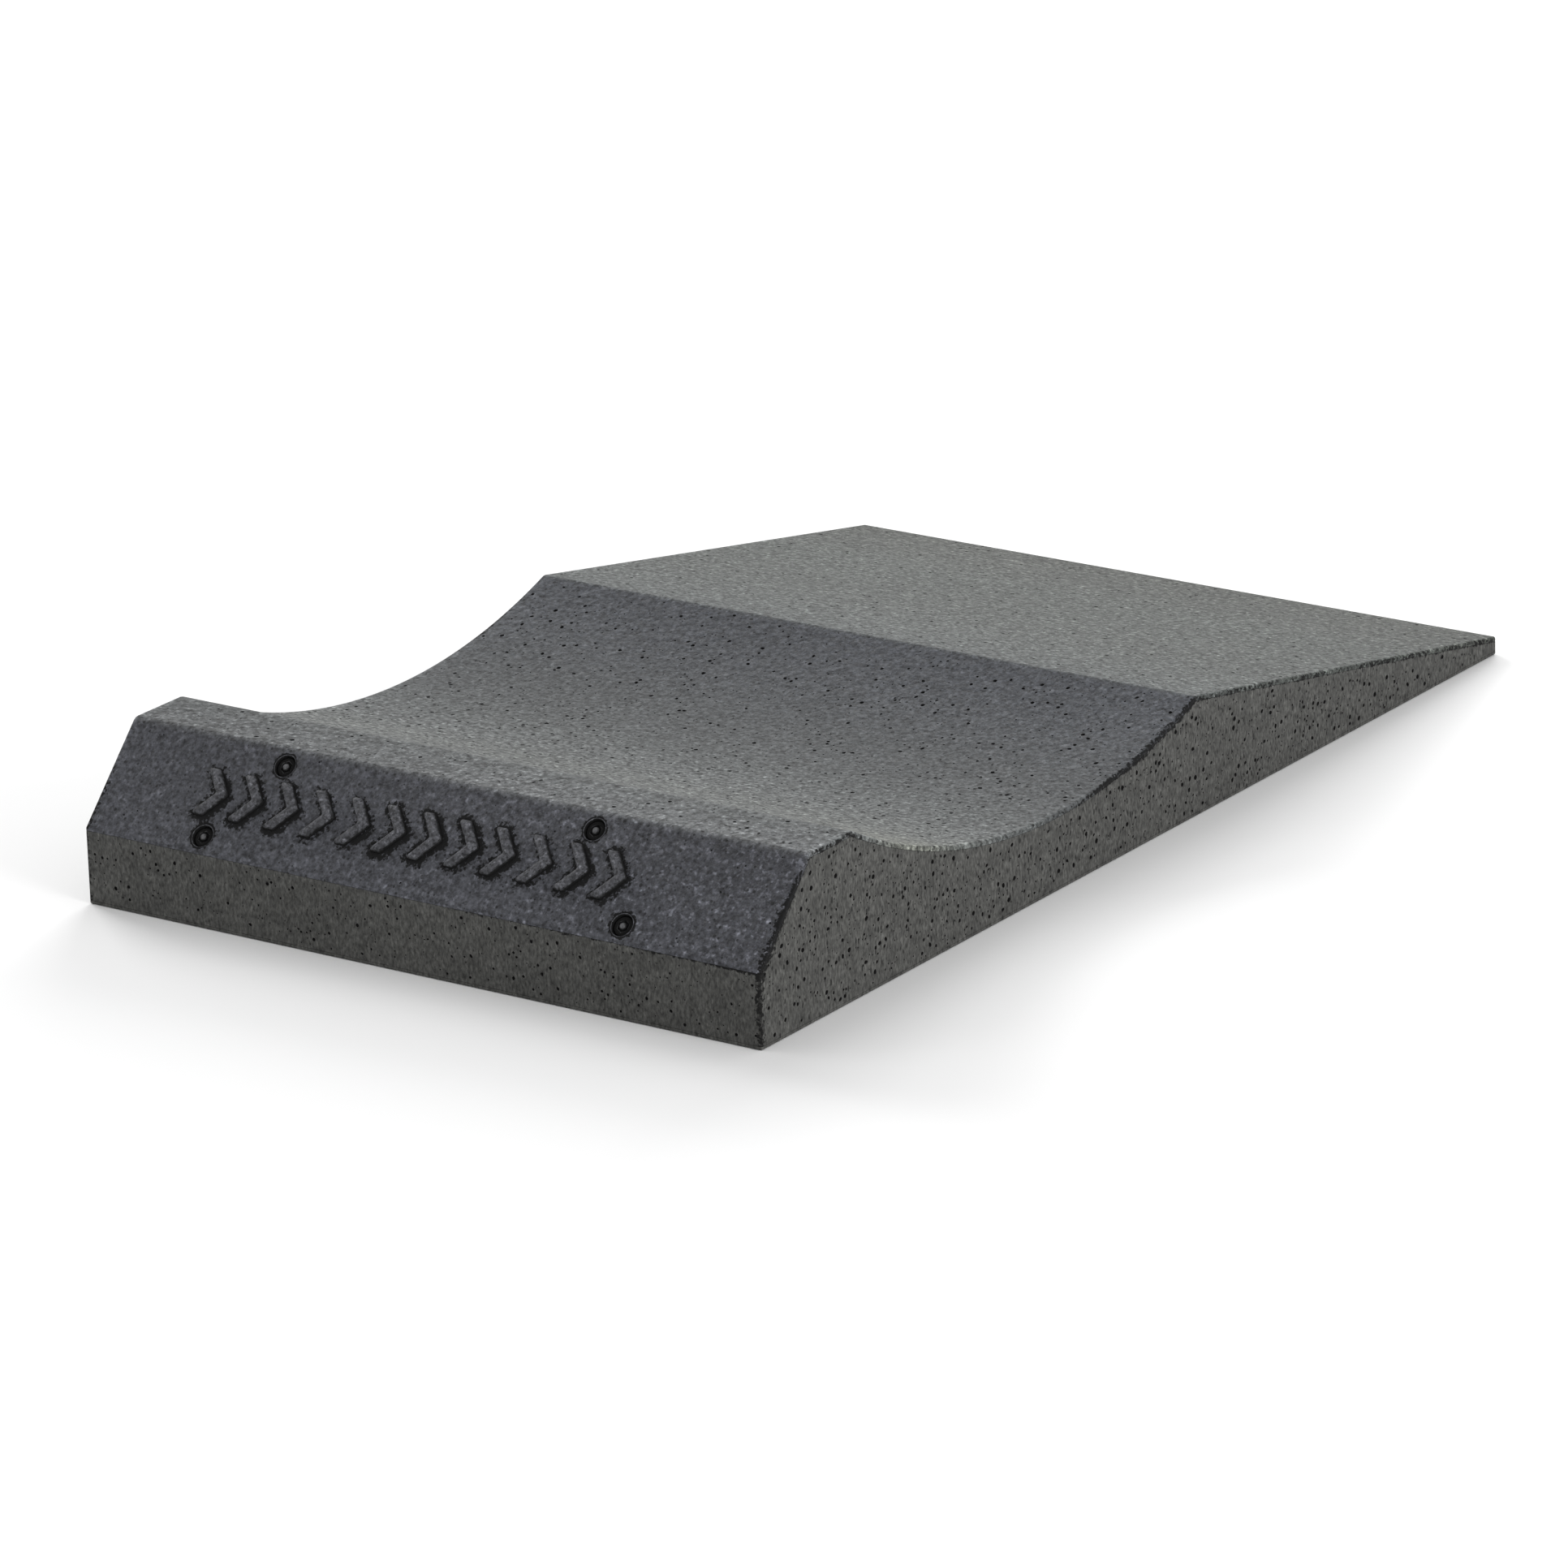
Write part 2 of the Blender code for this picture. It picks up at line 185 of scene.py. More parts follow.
def orient(mesh):
    """Makes all faces of a closed mesh point outwards, and stops the script if it isn't closed."""
    edit = bmesh.new()
    edit.from_mesh(mesh)
    bmesh.ops.remove_doubles(edit, verts=edit.verts, dist=MERGE)
    open_edges = [e for e in edit.edges if len(e.link_faces) != 2]
    if open_edges:
        places = [tuple(round(c * 1000, 2) for c in e.verts[0].co) for e in open_edges[:6]]
        raise ValueError(f"{mesh.name} has {len(open_edges)} open edges, such as at {places}")
    bmesh.ops.recalc_face_normals(edit, faces=edit.faces)
    edit.to_mesh(mesh)
    edit.free()


def inside(polygon, x, y):
    """Whether a point lies in a polygon."""
    found = False
    for (xi, yi), (xj, yj) in zip(polygon, polygon[-1:] + polygon[:-1]):
        if (yi > y) != (yj > y) and x < (xj - xi) * (y - yi) / (yj - yi) + xi:
            found = not found
    return found


def edge_distance(polygon, x, y):
    """Distance from a point to the nearest edge of a polygon."""
    best = math.inf
    for (ax, ay), (bx, by) in zip(polygon[-1:] + polygon[:-1], polygon):
        dx, dy = bx - ax, by - ay
        t = max(0.0, min(1.0, ((x - ax) * dx + (y - ay) * dy) / (dx * dx + dy * dy or 1)))
        best = min(best, math.hypot(ax + t * dx - x, ay + t * dy - y))
    return best


class Spots:
    """Pits and their radii by square, to find close neighbours quickly."""

    def __init__(self):
        self.cells = {}

    def square(self, x, y):
        return int(x // SQUARE), int(y // SQUARE)

    def add(self, x, y, r):
        self.cells.setdefault(self.square(x, y), []).append((x, y, r))

    def clear(self, x, y, r, gap):
        cx, cy = self.square(x, y)
        for i in (cx - 1, cx, cx + 1):
            for j in (cy - 1, cy, cy + 1):
                for px, py, pr in self.cells.get((i, j), ()):
                    if math.hypot(px - x, py - y) < r + pr + gap:
                        return False
        return True


def scatter(rng, outline, holes, count, radius):
    """Pits (x, y, r) thrown at random inside an outline, clear of its edges, of holes and of each other."""
    xs, ys = [p[0] for p in outline], [p[1] for p in outline]
    spots, pits = Spots(), []
    tries = count * 12
    for _ in range(tries):
        if len(pits) >= count:
            break
        x, y = rng.uniform(min(xs), max(xs)), rng.uniform(min(ys), max(ys))
        low, high = radius
        r = low + (high - low) * rng.random() ** 2.2
        if not inside(outline, x, y) or not spots.clear(x, y, r, PIT_GAP):
            continue
        room = r * 1.3 + PIT_MARGIN
        if edge_distance(outline, x, y) < room:
            continue
        if any(inside(h, x, y) or edge_distance(h, x, y) < room for h in holes):
            continue
        spots.add(x, y, r)
        pits.append((x, y, r))
    return pits


def patch(shell, outline, holes, pits, place, rng=None, cell=CELL, relief=None):
    """Fills an outline with triangles, leaving out holes and sinking an uneven pit at each pit's place.

    place turns (x, y, depth) into a place in space. relief gives a depth at (x, y). Only pits need rng.
    """
    points = list(outline)
    loops = [list(range(len(outline)))]
    for hole in holes:
        loops.append(list(range(len(points), len(points) + len(hole))))
        points += hole
    spots = Spots()
    bowls = []
    for x, y, r in pits:
        count = 9 if r > 0.8 else 7
        turn, stretch = rng.uniform(0, math.pi), rng.uniform(0.72, 1.0)
        rim = []
        for k in range(count):
            angle = 2 * math.pi * k / count
            reach = r * rng.uniform(0.86, 1.14)
            a, b = reach * math.cos(angle), reach * stretch * math.sin(angle)
            rim.append((a * math.cos(turn) - b * math.sin(turn), a * math.sin(turn) + b * math.cos(turn)))
        bowls.append((x, y, r, rim))
        loops.append(list(range(len(points), len(points) + count)))
        points += [(x + a, y + b) for a, b in rim]
        spots.add(x, y, r * 1.15)
    fixed = len(points)
    xs, ys = [p[0] for p in outline], [p[1] for p in outline]
    columns, rows = (max(1, round((max(v) - min(v)) / cell)) for v in (xs, ys))
    step_x, step_y = (max(xs) - min(xs)) / columns, (max(ys) - min(ys)) / rows
    for i in range(1, columns):
        for j in range(1, rows):
            x, y = min(xs) + i * step_x, min(ys) + j * step_y
            if not inside(outline, x, y) or edge_distance(outline, x, y) < 0.45 * cell:
                continue
            if not spots.clear(x, y, 0, 0.3 * cell if cell > 2 else 0.25):
                continue
            if any(inside(h, x, y) or edge_distance(h, x, y) < 0.4 * min(cell, 1.5) for h in holes):
                continue
            points.append((x, y))
    flat = [Vector(p) for p in points]
    _, _, triangles, origins, _, covers = delaunay_2d_cdt(flat, [], loops, 1, 1e-5, True)
    if not all(origins):
        raise ValueError("a patch's outlines cross")
    places = []
    for i in (origin[0] for origin in origins):
        x, y = points[i]
        places.append(place(x, y, relief(x, y) if relief and i >= fixed else 0.0))
    for triangle, cover in zip(triangles, covers):
        if 0 in cover and len(cover) == 1:
            shell.face([places[i] for i in triangle])
    for x, y, r, rim in bowls:
        deep = r * rng.uniform(0.8, 1.15)
        loop = [place(x + a, y + b, 0.0) for a, b in rim]
        ring = [place(x + 0.7 * a, y + 0.7 * b, 0.75 * deep) for a, b in rim]
        # Pit walls and floors get mark 1: painted shade, near black.
        shell.strip(loop + loop[:1], ring + ring[:1], 1.0)
        bottom = place(x, y, deep)
        for a, b in zip(ring, ring[1:] + ring[:1]):
            shell.face([a, b, bottom], 1.0)


# ---- The running surface from the nose to the tail ----


def left_of(direction):
    """The unit vector a quarter turn to the left of a direction."""
    return Vector((-direction.y, direction.x)).normalized()


def dish_centre():
    """The centre, in the side view, of the circle that the dish follows from lip to peak."""
    a, b = Vector((LIP_END, LIP_HEIGHT)), Vector((PEAK, PEAK_HEIGHT))
    chord = b - a
    return (a + b) / 2 + left_of(chord) * math.sqrt(TYRE_RADIUS**2 - (chord.length / 2) ** 2)


DISH = dish_centre()


def dish_angle(point):
    """The angle at which a point stands, seen from the dish's centre."""
    return math.atan2(*(point - DISH).yx)


class Path:
    """A line in the side view, walked by its length, with its outward normal."""

    def __init__(self):
        self.v, self.points, self.normals, self.stops = [], [], [], {}

    def add(self, point, normal):
        step = (point - self.points[-1]).length if self.points else 0.0
        if self.points and step < TINY:
            return
        self.v.append((self.v[-1] if self.v else 0.0) + step)
        self.points.append(point)
        self.normals.append(normal.normalized())

    def stop(self, name):
        self.stops[name] = self.v[-1]

    def at(self, v):
        i = min(max(bisect.bisect_right(self.v, v) - 1, 0), len(self.v) - 2)
        t = min(max((v - self.v[i]) / (self.v[i + 1] - self.v[i]), 0.0), 1.0)
        point = self.points[i].lerp(self.points[i + 1], t)
        return point, self.normals[i].lerp(self.normals[i + 1], t).normalized()


def fillet(path, corner, before, after, radius, name, steps):
    """Walks round a corner on an arc, from heading before to heading after."""
    before, after = before.normalized(), after.normalized()
    turn = math.acos(max(-1.0, min(1.0, before.dot(after))))
    reach = radius * math.tan(turn / 2)
    start = corner - before * reach
    centre = start - left_of(before) * radius
    for k in range(steps + 1):
        out = left_of(before)
        out.rotate(Matrix.Rotation(-turn * k / steps, 2))
        path.add(centre + out * radius, out)
        if k == 0:
            path.stop(name + "_in")
    path.stop(name + "_out")


def dish_heading(point):
    """The way along the dish's circle at a point, towards the tail."""
    return left_of(point - DISH)


def running_surface():
    """The line from the nose's top edge over bevel, lip, dish, peak and ramp to the tail."""
    up, level = Vector((0, 1)), Vector((1, 0))
    nose, bevel_top = Vector((0, NOSE_HEIGHT)), Vector((BEVEL_RUN, LIP_HEIGHT))
    lip_end, peak = Vector((LIP_END, LIP_HEIGHT)), Vector((PEAK, PEAK_HEIGHT))
    tail = Vector((LENGTH, TAIL_HEIGHT))
    slope, ramp = (bevel_top - nose).normalized(), (tail - peak).normalized()
    room_for_peak = 0.0032
    path = Path()
    path.add(Vector((0, NOSE_HEIGHT - NOSE_DROP)), Vector((-1, 0)))
    fillet(path, nose, up, slope, NOSE_ROUND, "nose", 5)
    fillet(path, bevel_top, slope, level, BEVEL_TOP_ROUND, "bevel_top", 7)
    fillet(path, lip_end, level, dish_heading(lip_end), LIP_ROUND, "lip_end", 6)
    first = dish_angle(path.points[-1])
    last = dish_angle(peak) - room_for_peak
    steps = 300
    for k in range(1, steps):
        angle = first + (last - first) * k / steps
        out = Vector((math.cos(angle), math.sin(angle)))
        path.add(DISH + out * TYRE_RADIUS, -out)
    fillet(path, peak, dish_heading(peak), ramp, PEAK_ROUND, "peak", 6)
    fillet(path, tail, ramp, -up, TAIL_ROUND, "tail", 5)
    path.add(Vector((LENGTH, TAIL_HEIGHT - TAIL_DROP)), level)
    path.stops["end"] = path.v[-1]
    return path


def under_line(depth):
    """The coat's underside as (y, z), with mitred corners, from the nose to the tail."""
    line = [Vector((0, NOSE_HEIGHT)), Vector((BEVEL_RUN, LIP_HEIGHT))]
    first, last = dish_angle(Vector((LIP_END, LIP_HEIGHT))), dish_angle(Vector((PEAK, PEAK_HEIGHT)))
    steps = 56
    for k in range(steps + 1):
        angle = first + (last - first) * k / steps
        line.append(DISH + TYRE_RADIUS * Vector((math.cos(angle), math.sin(angle))))
    line.append(Vector((LENGTH, TAIL_HEIGHT)))
    inward = [-left_of(b - a) for a, b in zip(line, line[1:])]
    moved = [line[0] + inward[0] * depth]
    for i in range(1, len(line) - 1):
        mitre = (inward[i - 1] + inward[i]).normalized()
        moved.append(line[i] + mitre * depth / mitre.dot(inward[i]))
    moved.append(line[-1] + inward[-1] * depth)
    return moved


def height_on(line, y):
    """A line's height at y."""
    i = min(max(bisect.bisect_right([p.x for p in line], y) - 1, 0), len(line) - 2)
    a, b = line[i], line[i + 1]
    return a.y + (b.y - a.y) * (y - a.x) / (b.x - a.x)


SURFACE = running_surface()
BEVEL_FOOT = Vector((0, NOSE_HEIGHT))
BEVEL_RISE = LIP_HEIGHT - NOSE_HEIGHT
BEVEL_SLOPE = Vector((BEVEL_RUN, BEVEL_RISE)).normalized()

# What turns a distance s up the bevel from the nose's edge into a distance v along the surface
BEVEL_LEAN = math.acos(BEVEL_RISE / math.hypot(BEVEL_RUN, BEVEL_RISE))
BEVEL_SHIFT = SURFACE.stops["nose_out"] - NOSE_ROUND * math.tan(BEVEL_LEAN / 2)


def on_surface(x, v, depth):
    """A place by its distance v along the running surface."""
    point, normal = SURFACE.at(v)
    point = point - normal * depth
    return (x, point.x, point.y)


def on_bevel(x, s, depth):
    """A place by its distance s up the bevel from the nose's top edge."""
    point = BEVEL_FOOT + BEVEL_SLOPE * s - left_of(BEVEL_SLOPE) * depth
    return (x, point.x, point.y)


# ---- Badge outlines ----


def rounded(points, radius, steps):
    """A polygon with each corner turned into an arc of steps + 1 points."""
    out = []
    n = len(points)
    for i in range(n):
        before = (Vector(points[i]) - Vector(points[i - 1])).normalized()
        after = (Vector(points[(i + 1) % n]) - Vector(points[i])).normalized()
        turn = math.atan2(before.cross(after), before.dot(after))
        reach = radius * math.tan(abs(turn) / 2)
        start = Vector(points[i]) - before * reach
        centre = start + left_of(before) * math.copysign(radius, turn)
        for k in range(steps + 1):
            arm = start - centre
            arm.rotate(Matrix.Rotation(turn * k / steps, 2))
            out.append((centre.x + arm.x, centre.y + arm.y))
    return out


def chevron(index, margin, radius=CHEVRON_ROUND):
    """One chevron of the row, grown by margin on every side, with round corners."""
    row_width = (CHEVRONS - 1) * CHEVRON_PITCH + CHEVRON_REACH + CHEVRON_STROKE
    left = CHEVRON_MIDDLE - row_width / 2 + index * CHEVRON_PITCH
    half = CHEVRON_HEIGHT / 2
    centre = CHEVRON_FOOT + half
    sideways = margin / math.sin(math.atan2(half, CHEVRON_REACH))
    overhang = margin * CHEVRON_REACH / half
    foot = half + margin
    corners = [
        (left - sideways - overhang, centre - foot),
        (left + CHEVRON_STROKE + sideways - overhang, centre - foot),
        (left + CHEVRON_STROKE + CHEVRON_REACH + sideways, centre),
        (left + CHEVRON_STROKE + sideways - overhang, centre + foot),
        (left - sideways - overhang, centre + foot),
        (left + CHEVRON_REACH - sideways, centre),
    ]
    return rounded(corners, radius, 4)


def circle(centre, radius):
    """A circle's points, starting on its right."""
    angles = [2 * math.pi * k / CIRCLE_SIDES for k in range(CIRCLE_SIDES)]
    return [(centre[0] + radius * math.cos(a), centre[1] + radius * math.sin(a)) for a in angles]


def divided(a, b, cell):
    """Numbers from a to b, both kept, about a cell apart."""
    n = max(1, round(abs(b - a) / cell))
    return [a + (b - a) * k / n for k in range(n + 1)]


# ---- Pieces ----


def ripple(x, v):
    """The uneven, sprayed face of the bevel, as a depth."""
    s = v - BEVEL_SHIFT
    fine = noise.noise(Vector((x * 0.42, s * 0.42, 3.1)))
    coarse = noise.noise(Vector((x * 0.11, s * 0.16, 7.7)))
    return 0.11 * fine + 0.10 * coarse


def drape(x, v):
    """A very slight unevenness of the sprayed top, as a depth."""
    return 0.07 * noise.noise(Vector((x * 0.035, v * 0.035, 1.3)))


def make_tread_skin(material):
    """The running surface's coat, from the nose's top edge to the tail, with windows for the badge's work."""
    shell = Shell()
    rng = random.Random(4)
    flat = HALF - EDGE_RADIUS
    columns = divided(-flat, flat, CELL)
    # Plain strips over the rounds, and pitted faces between them: bevel, lip, dish and ramp
    names = ("nose_out", "bevel_top_in", "bevel_top_out", "lip_end_in", "lip_end_out", "peak_in", "peak_out")
    bounds = [0.0, *(SURFACE.stops[name] for name in (*names, "tail_in", "end"))]
    zones = (None, BEVEL_PITS, None, LIP_PITS, None, DISH_PITS, None, RAMP_PITS, None)
    blocks = [chevron(i, SEAM) for i in range(CHEVRONS)]
    cups = [circle(c, CUP_RADIUS + SEAM) for c in CUPS.values()]
    windows = blocks + cups
    rows = []
    for start, end, pitting in zip(bounds, bounds[1:], zones):
        if pitting is None:
            walked = [start, *(v for v in SURFACE.v if start + TINY < v < end - TINY), end]
            shell.strips([[on_surface(x, v, 0.0) for x in columns] for v in walked])
        else:
            bevel = pitting is BEVEL_PITS
            walked = divided(start, end, BEVEL_ROW if bevel else CELL)
            outline = [(x, start) for x in columns] + [(flat, v) for v in walked[1:]]
            outline += [(x, end) for x in reversed(columns[:-1])]
            outline += [(-flat, v) for v in reversed(walked[1:-1])]
            holes, uneven, reach, cell = [], drape, 12.0, CELL
            if bevel:
                holes = [[(x, s + BEVEL_SHIFT) for x, s in w] for w in windows]
                uneven, reach, cell = ripple, 3.0, BEVEL_CELL
            pits = scatter(rng, outline, holes, *pitting)
            box = outline_box(outline)
            patch(
                shell, outline, holes, pits, on_surface, rng, cell,
                lambda x, v: uneven(x, v) * fade(x, v, box, reach),
            )
        rows += walked if not rows else walked[1:]
    under = [under_place(v) for v in rows]
    for side in (-1, 1):
        make_rim(shell, rows, under, side)
    make_underside(shell, rows, under, windows, columns)

    # Painted shade along the side edges and round the badge's work, with a painted shadow to the chevrons'
    # lower right.
    def near_shade(x, y, z):
        return min(shade_distance(HALF - abs(x), edge_shade_strength(y)), shade_round_work(blocks, cups, x, y, z))

    return shell.build("tread_skin", material, near_shade)


def clamp(value):
    """A value held between 0 and 1."""
    return max(0.0, min(1.0, value))


def bell(y, middle, reach):
    """Falls smoothly from 1 at the middle towards 0 on both sides."""
    return math.exp(-(((y - middle) / reach) ** 2))


def edge_shade_strength(y):
    """How strong the painted shade line along a side's top edge is: strongest at the bevel and before the
    peak.
    """
    plain = 0.12 + 0.22 * clamp(max((y - 200.0) / 80.0, (90.0 - y) / 25.0))
    return max(plain, 1.6 * bell(y, *BEVEL_EDGE_SHADE), bell(y, *PEAK_EDGE_SHADE))


def nose_shade_strength(x):
    """How strong the painted shade line along the nose's top edge is: growing towards the right."""
    return 0.12 + 0.48 * clamp((x - 10.0) / 150.0)


def shade_distance(distance, strength):
    """A distance from an edge, stretched where its painted shade line is weak."""
    return min(FAR, (distance + 0.5 * (1.0 - strength)) / strength)


def shade_round_work(blocks, cups, x, y, z):
    """Distance, up to FAR, from a place on the bevel to the painted shade round the chevrons and the cups,
    which lies off to the chevrons' lower right as a painted shadow.
    """
    if y >= BEVEL_RUN:
        return FAR
    s = (Vector((y, z)) - BEVEL_FOOT).dot(BEVEL_SLOPE)
    margin, near_cup = 5, 20
    best = FAR
    for outline in blocks:
        left, right, low, high = outline_box(outline)
        if left - margin < x < right + margin and low - margin < s < high + margin:
            drifted = (x - SHADOW_DRIFT[0], s - SHADOW_DRIFT[1])
            reach = 0.0 if inside(outline, *drifted) else edge_distance(outline, *drifted)
            best = min(best, BLOCK_SHADE_PULL * reach, BLOCK_SHADE_PULL * edge_distance(outline, x, s))
    for outline in cups:
        if abs(outline[0][0] - x) < near_cup:
            best = min(best, CUP_SHADE_PULL * edge_distance(outline, x, s))
    return best


def outline_box(outline):
    """An outline's least and greatest x, then y."""
    xs, ys = [p[0] for p in outline], [p[1] for p in outline]
    return min(xs), max(xs), min(ys), max(ys)


def fade(x, y, box, reach):
    """Falls from 1 to 0 towards the edges of a box."""
    return clamp(min(x - box[0], box[1] - x, y - box[2], box[3] - y) / reach)


UNDER = under_line(TREAD_COAT)


def under_place(v):
    """The underside's point that belongs to a row of the running surface."""
    stops = SURFACE.stops
    for name, corner in (("bevel_top", 1), ("lip_end", 2), ("peak", -2)):
        if stops[name + "_in"] - TINY <= v <= stops[name + "_out"] + TINY:
            return UNDER[corner]
    if v <= stops["nose_out"] + TINY:
        return UNDER[0]
    if v >= stops["tail_in"] - TINY:
        return Vector((LENGTH - SIDE_COAT, height_on(UNDER, LENGTH - SIDE_COAT)))
    point, normal = SURFACE.at(v)
    return point - normal * TREAD_COAT


def edge_arc(side, v):
    """The small uneven round over a side's edge at v, from the running surface outwards."""
    arc = []
    for k in range(EDGE_STEPS + 1):
        angle = math.pi / 2 * k / EDGE_STEPS
        uneven = 0.0
        if 0 < k < EDGE_STEPS:
            uneven = UNEVEN_EDGE * noise.noise(Vector((v * 0.5, side * 9.0, 0.4)))
        x = HALF - EDGE_RADIUS + EDGE_RADIUS * math.sin(angle) + uneven
        arc.append(on_surface(side * x, v, EDGE_RADIUS * (1 - math.cos(angle)) + 0.5 * uneven))
    return arc


def make_rim(shell, rows, under, side):
    """The coat's edge over a side: a small uneven round, then its thickness down to its underside."""
    lines = list(zip(*(edge_arc(side, v) for v in rows)))
    lines.append([(side * HALF, p.x, p.y) for p in under])
    # These faces get painted shade, as strong as the edge's painted shade line.
    for first, second, mark in zip(lines, lines[1:], EDGE_SHADE_MARKS):
        for i in range(len(first) - 1):
            shell.strip(first[i : i + 2], second[i : i + 2], mark * min(1.0, edge_shade_strength(first[i][1])))


def make_underside(shell, rows, under, windows, columns):
    """The coat's inner face, the walls of its windows, and its two ends."""
    stops = SURFACE.stops
    low, high = stops["nose_out"] - TINY, stops["bevel_top_in"] + TINY
    heights = []
    for v, p in zip(rows, under):
        s = (p - BEVEL_FOOT).dot(BEVEL_SLOPE)
        if low <= v <= high and (not heights or s > heights[-1] + 1e-4):
            heights.append(s)
    outline = [(-HALF, s) for s in reversed(heights)] + [(HALF, s) for s in heights]
    patch(shell, outline, windows, [], lambda x, s, d: on_bevel(x, s, TREAD_COAT), cell=NO_CELL)
    rest = [p for v, p in zip(rows, under) if v >= stops["bevel_top_in"] - TINY]
    shell.strip([(-HALF, p.x, p.y) for p in rest], [(HALF, p.x, p.y) for p in rest])
    for window in windows:
        loop = window + window[:1]
        shell.strip([on_bevel(x, s, 0.0) for x, s in loop], [on_bevel(x, s, TREAD_COAT) for x, s in loop])
    for v, end in ((rows[0], under[0]), (rows[-1], under[-1])):
        line = [on_surface(x, v, 0.0) for x in columns]
        edge = edge_arc(-1, v)[::-1] + line[1:-1] + edge_arc(1, v)
        apex = (-HALF, end.x, end.y)
        for a, b in zip(edge, edge[1:]):
            shell.face([a, b, apex])
        shell.face([edge[-1], (HALF, end.x, end.y), apex])


def make_side_skin(material):
    """A closed band round the edge, pitted on its outer faces."""
    shell = Shell()
    rng = random.Random(11)
    r = EDGE_RADIUS
    foot = BASE_COAT + SEAM
    line = under_line(TREAD_COAT + SEAM)
    start = line[0]
    nose_top = NOSE_HEIGHT - NOSE_DROP - SEAM

    def top(y):
        if y < start.x:
            return nose_top + (start.y - nose_top) * y / start.x
        return height_on(line, y)

    def levels(y, count):
        return [foot + (top(y) - foot) * k / count for k in range(count + 1)]

    def corner(cx, cy, turn):
        angles = [turn + math.pi / 2 * k / 4 for k in range(5)]
        return [(cx + r * math.cos(a), cy + r * math.sin(a)) for a in angles]

    ys = sorted({*divided(r, LENGTH - r, CELL), *(p.x for p in (line[0], line[1], line[2], line[-2]))})
    xs = divided(-HALF + r, HALF - r, CELL)
    tail_right, tail_left = corner(HALF - r, LENGTH - r, 0), corner(-HALF + r, LENGTH - r, math.pi / 2)
    nose_left, nose_right = corner(-HALF + r, r, math.pi), corner(HALF - r, r, 1.5 * math.pi)
    outer = [(HALF, y) for y in ys] + tail_right[1:-1]
    outer += [(x, LENGTH) for x in reversed(xs)] + tail_left[1:-1]
    outer += [(-HALF, y) for y in reversed(ys)] + nose_left[1:-1]
    outer += [(x, 0.0) for x in xs] + nose_right[1:-1]
    closed = outer + outer[:1]
    inner_x, inner_y = HALF - SIDE_COAT, LENGTH - SIDE_COAT
    inset = [(max(-inner_x, min(inner_x, x)), max(SIDE_COAT, min(inner_y, y))) for x, y in closed]
    shell.strip([(x, y, foot) for x, y in closed], [(x, y, foot) for x, y in inset])
    shell.strip([(x, y, top(y)) for x, y in closed], [(x, y, top(y)) for x, y in inset])
    shell.strip([(x, y, foot) for x, y in inset], [(x, y, top(y)) for x, y in inset])
    for arc in (tail_right, tail_left, nose_left, nose_right):
        count = NOSE_LEVELS if arc in (nose_left, nose_right) else TAIL_LEVELS
        shell.strips([[(x, y, z) for z in levels(y, count)] for x, y in arc], [CORNER_MARK] * len(arc))

    def cover(along, y_at, first_levels, last_levels, pitting, place):
        """Fills an outer face, whose foot and top run along a row of places at the distances y_at gives."""
        first, last = along[0], along[-1]
        outline = [(p, foot) for p in along]
        outline += [(last, z) for z in levels(y_at(last), last_levels)[1:-1]]
        outline += [(p, top(y_at(p))) for p in reversed(along)]
        outline += [(first, z) for z in reversed(levels(y_at(first), first_levels)[1:-1])]
        patch(shell, outline, [], scatter(rng, outline, [], *pitting), place, rng)

    for side in (-1, 1):
        cover(
            ys, lambda y: y, NOSE_LEVELS, TAIL_LEVELS, SIDE_PITS,
            lambda y, z, d: (side * (HALF - d), y, z),
        )
    cover(xs, lambda x: 0.0, NOSE_LEVELS, NOSE_LEVELS, NOSE_PITS, lambda x, z, d: (x, d, z))
    cover(xs, lambda x: LENGTH, TAIL_LEVELS, TAIL_LEVELS, TAIL_PITS, lambda x, z, d: (x, LENGTH - d, z))

    # Painted shade under the tread coat's edge along the sides and the nose, and a dark line down the nose's
    # corners.
    def below_edge(x, y, z):
        slope = top(min(y + 0.5, LENGTH)) - top(max(y - 0.5, 0.0))
        edge = FAR
        if y < 0.5 * r:
            edge = shade_distance(top(0.0) - z, nose_shade_strength(x))
        elif y < LENGTH - 0.5 * r:
            edge = shade_distance((top(y) - z) / math.hypot(1.0, slope), edge_shade_strength(y))
        return min(edge, CORNER_PULL * math.hypot(HALF - abs(x), y))

    return shell.build("side_skin", material, below_edge)


def make_base_skin(material):
    """The underside's coat with round corners and a small round along its lower edge."""
    shell = Shell()

    def loop(inset):
        x, r = HALF - inset, max(EDGE_RADIUS - inset, 0.25)
        low, high = inset, LENGTH - inset
        return rounded([(x, low), (x, high), (-x, high), (-x, low)], r, 4)

    levels = [(0.7, 0.0), (0.32, 0.1), (0.08, 0.32), (0.0, 0.7), (0.0, BASE_COAT)]
    lines = [[(x, y, z) for x, y in loop(inset)] for inset, z in levels]
    shell.strips([line + line[:1] for line in lines])
    shell.face(lines[0])
    shell.face(lines[-1])
    return shell.build("base_skin", material)


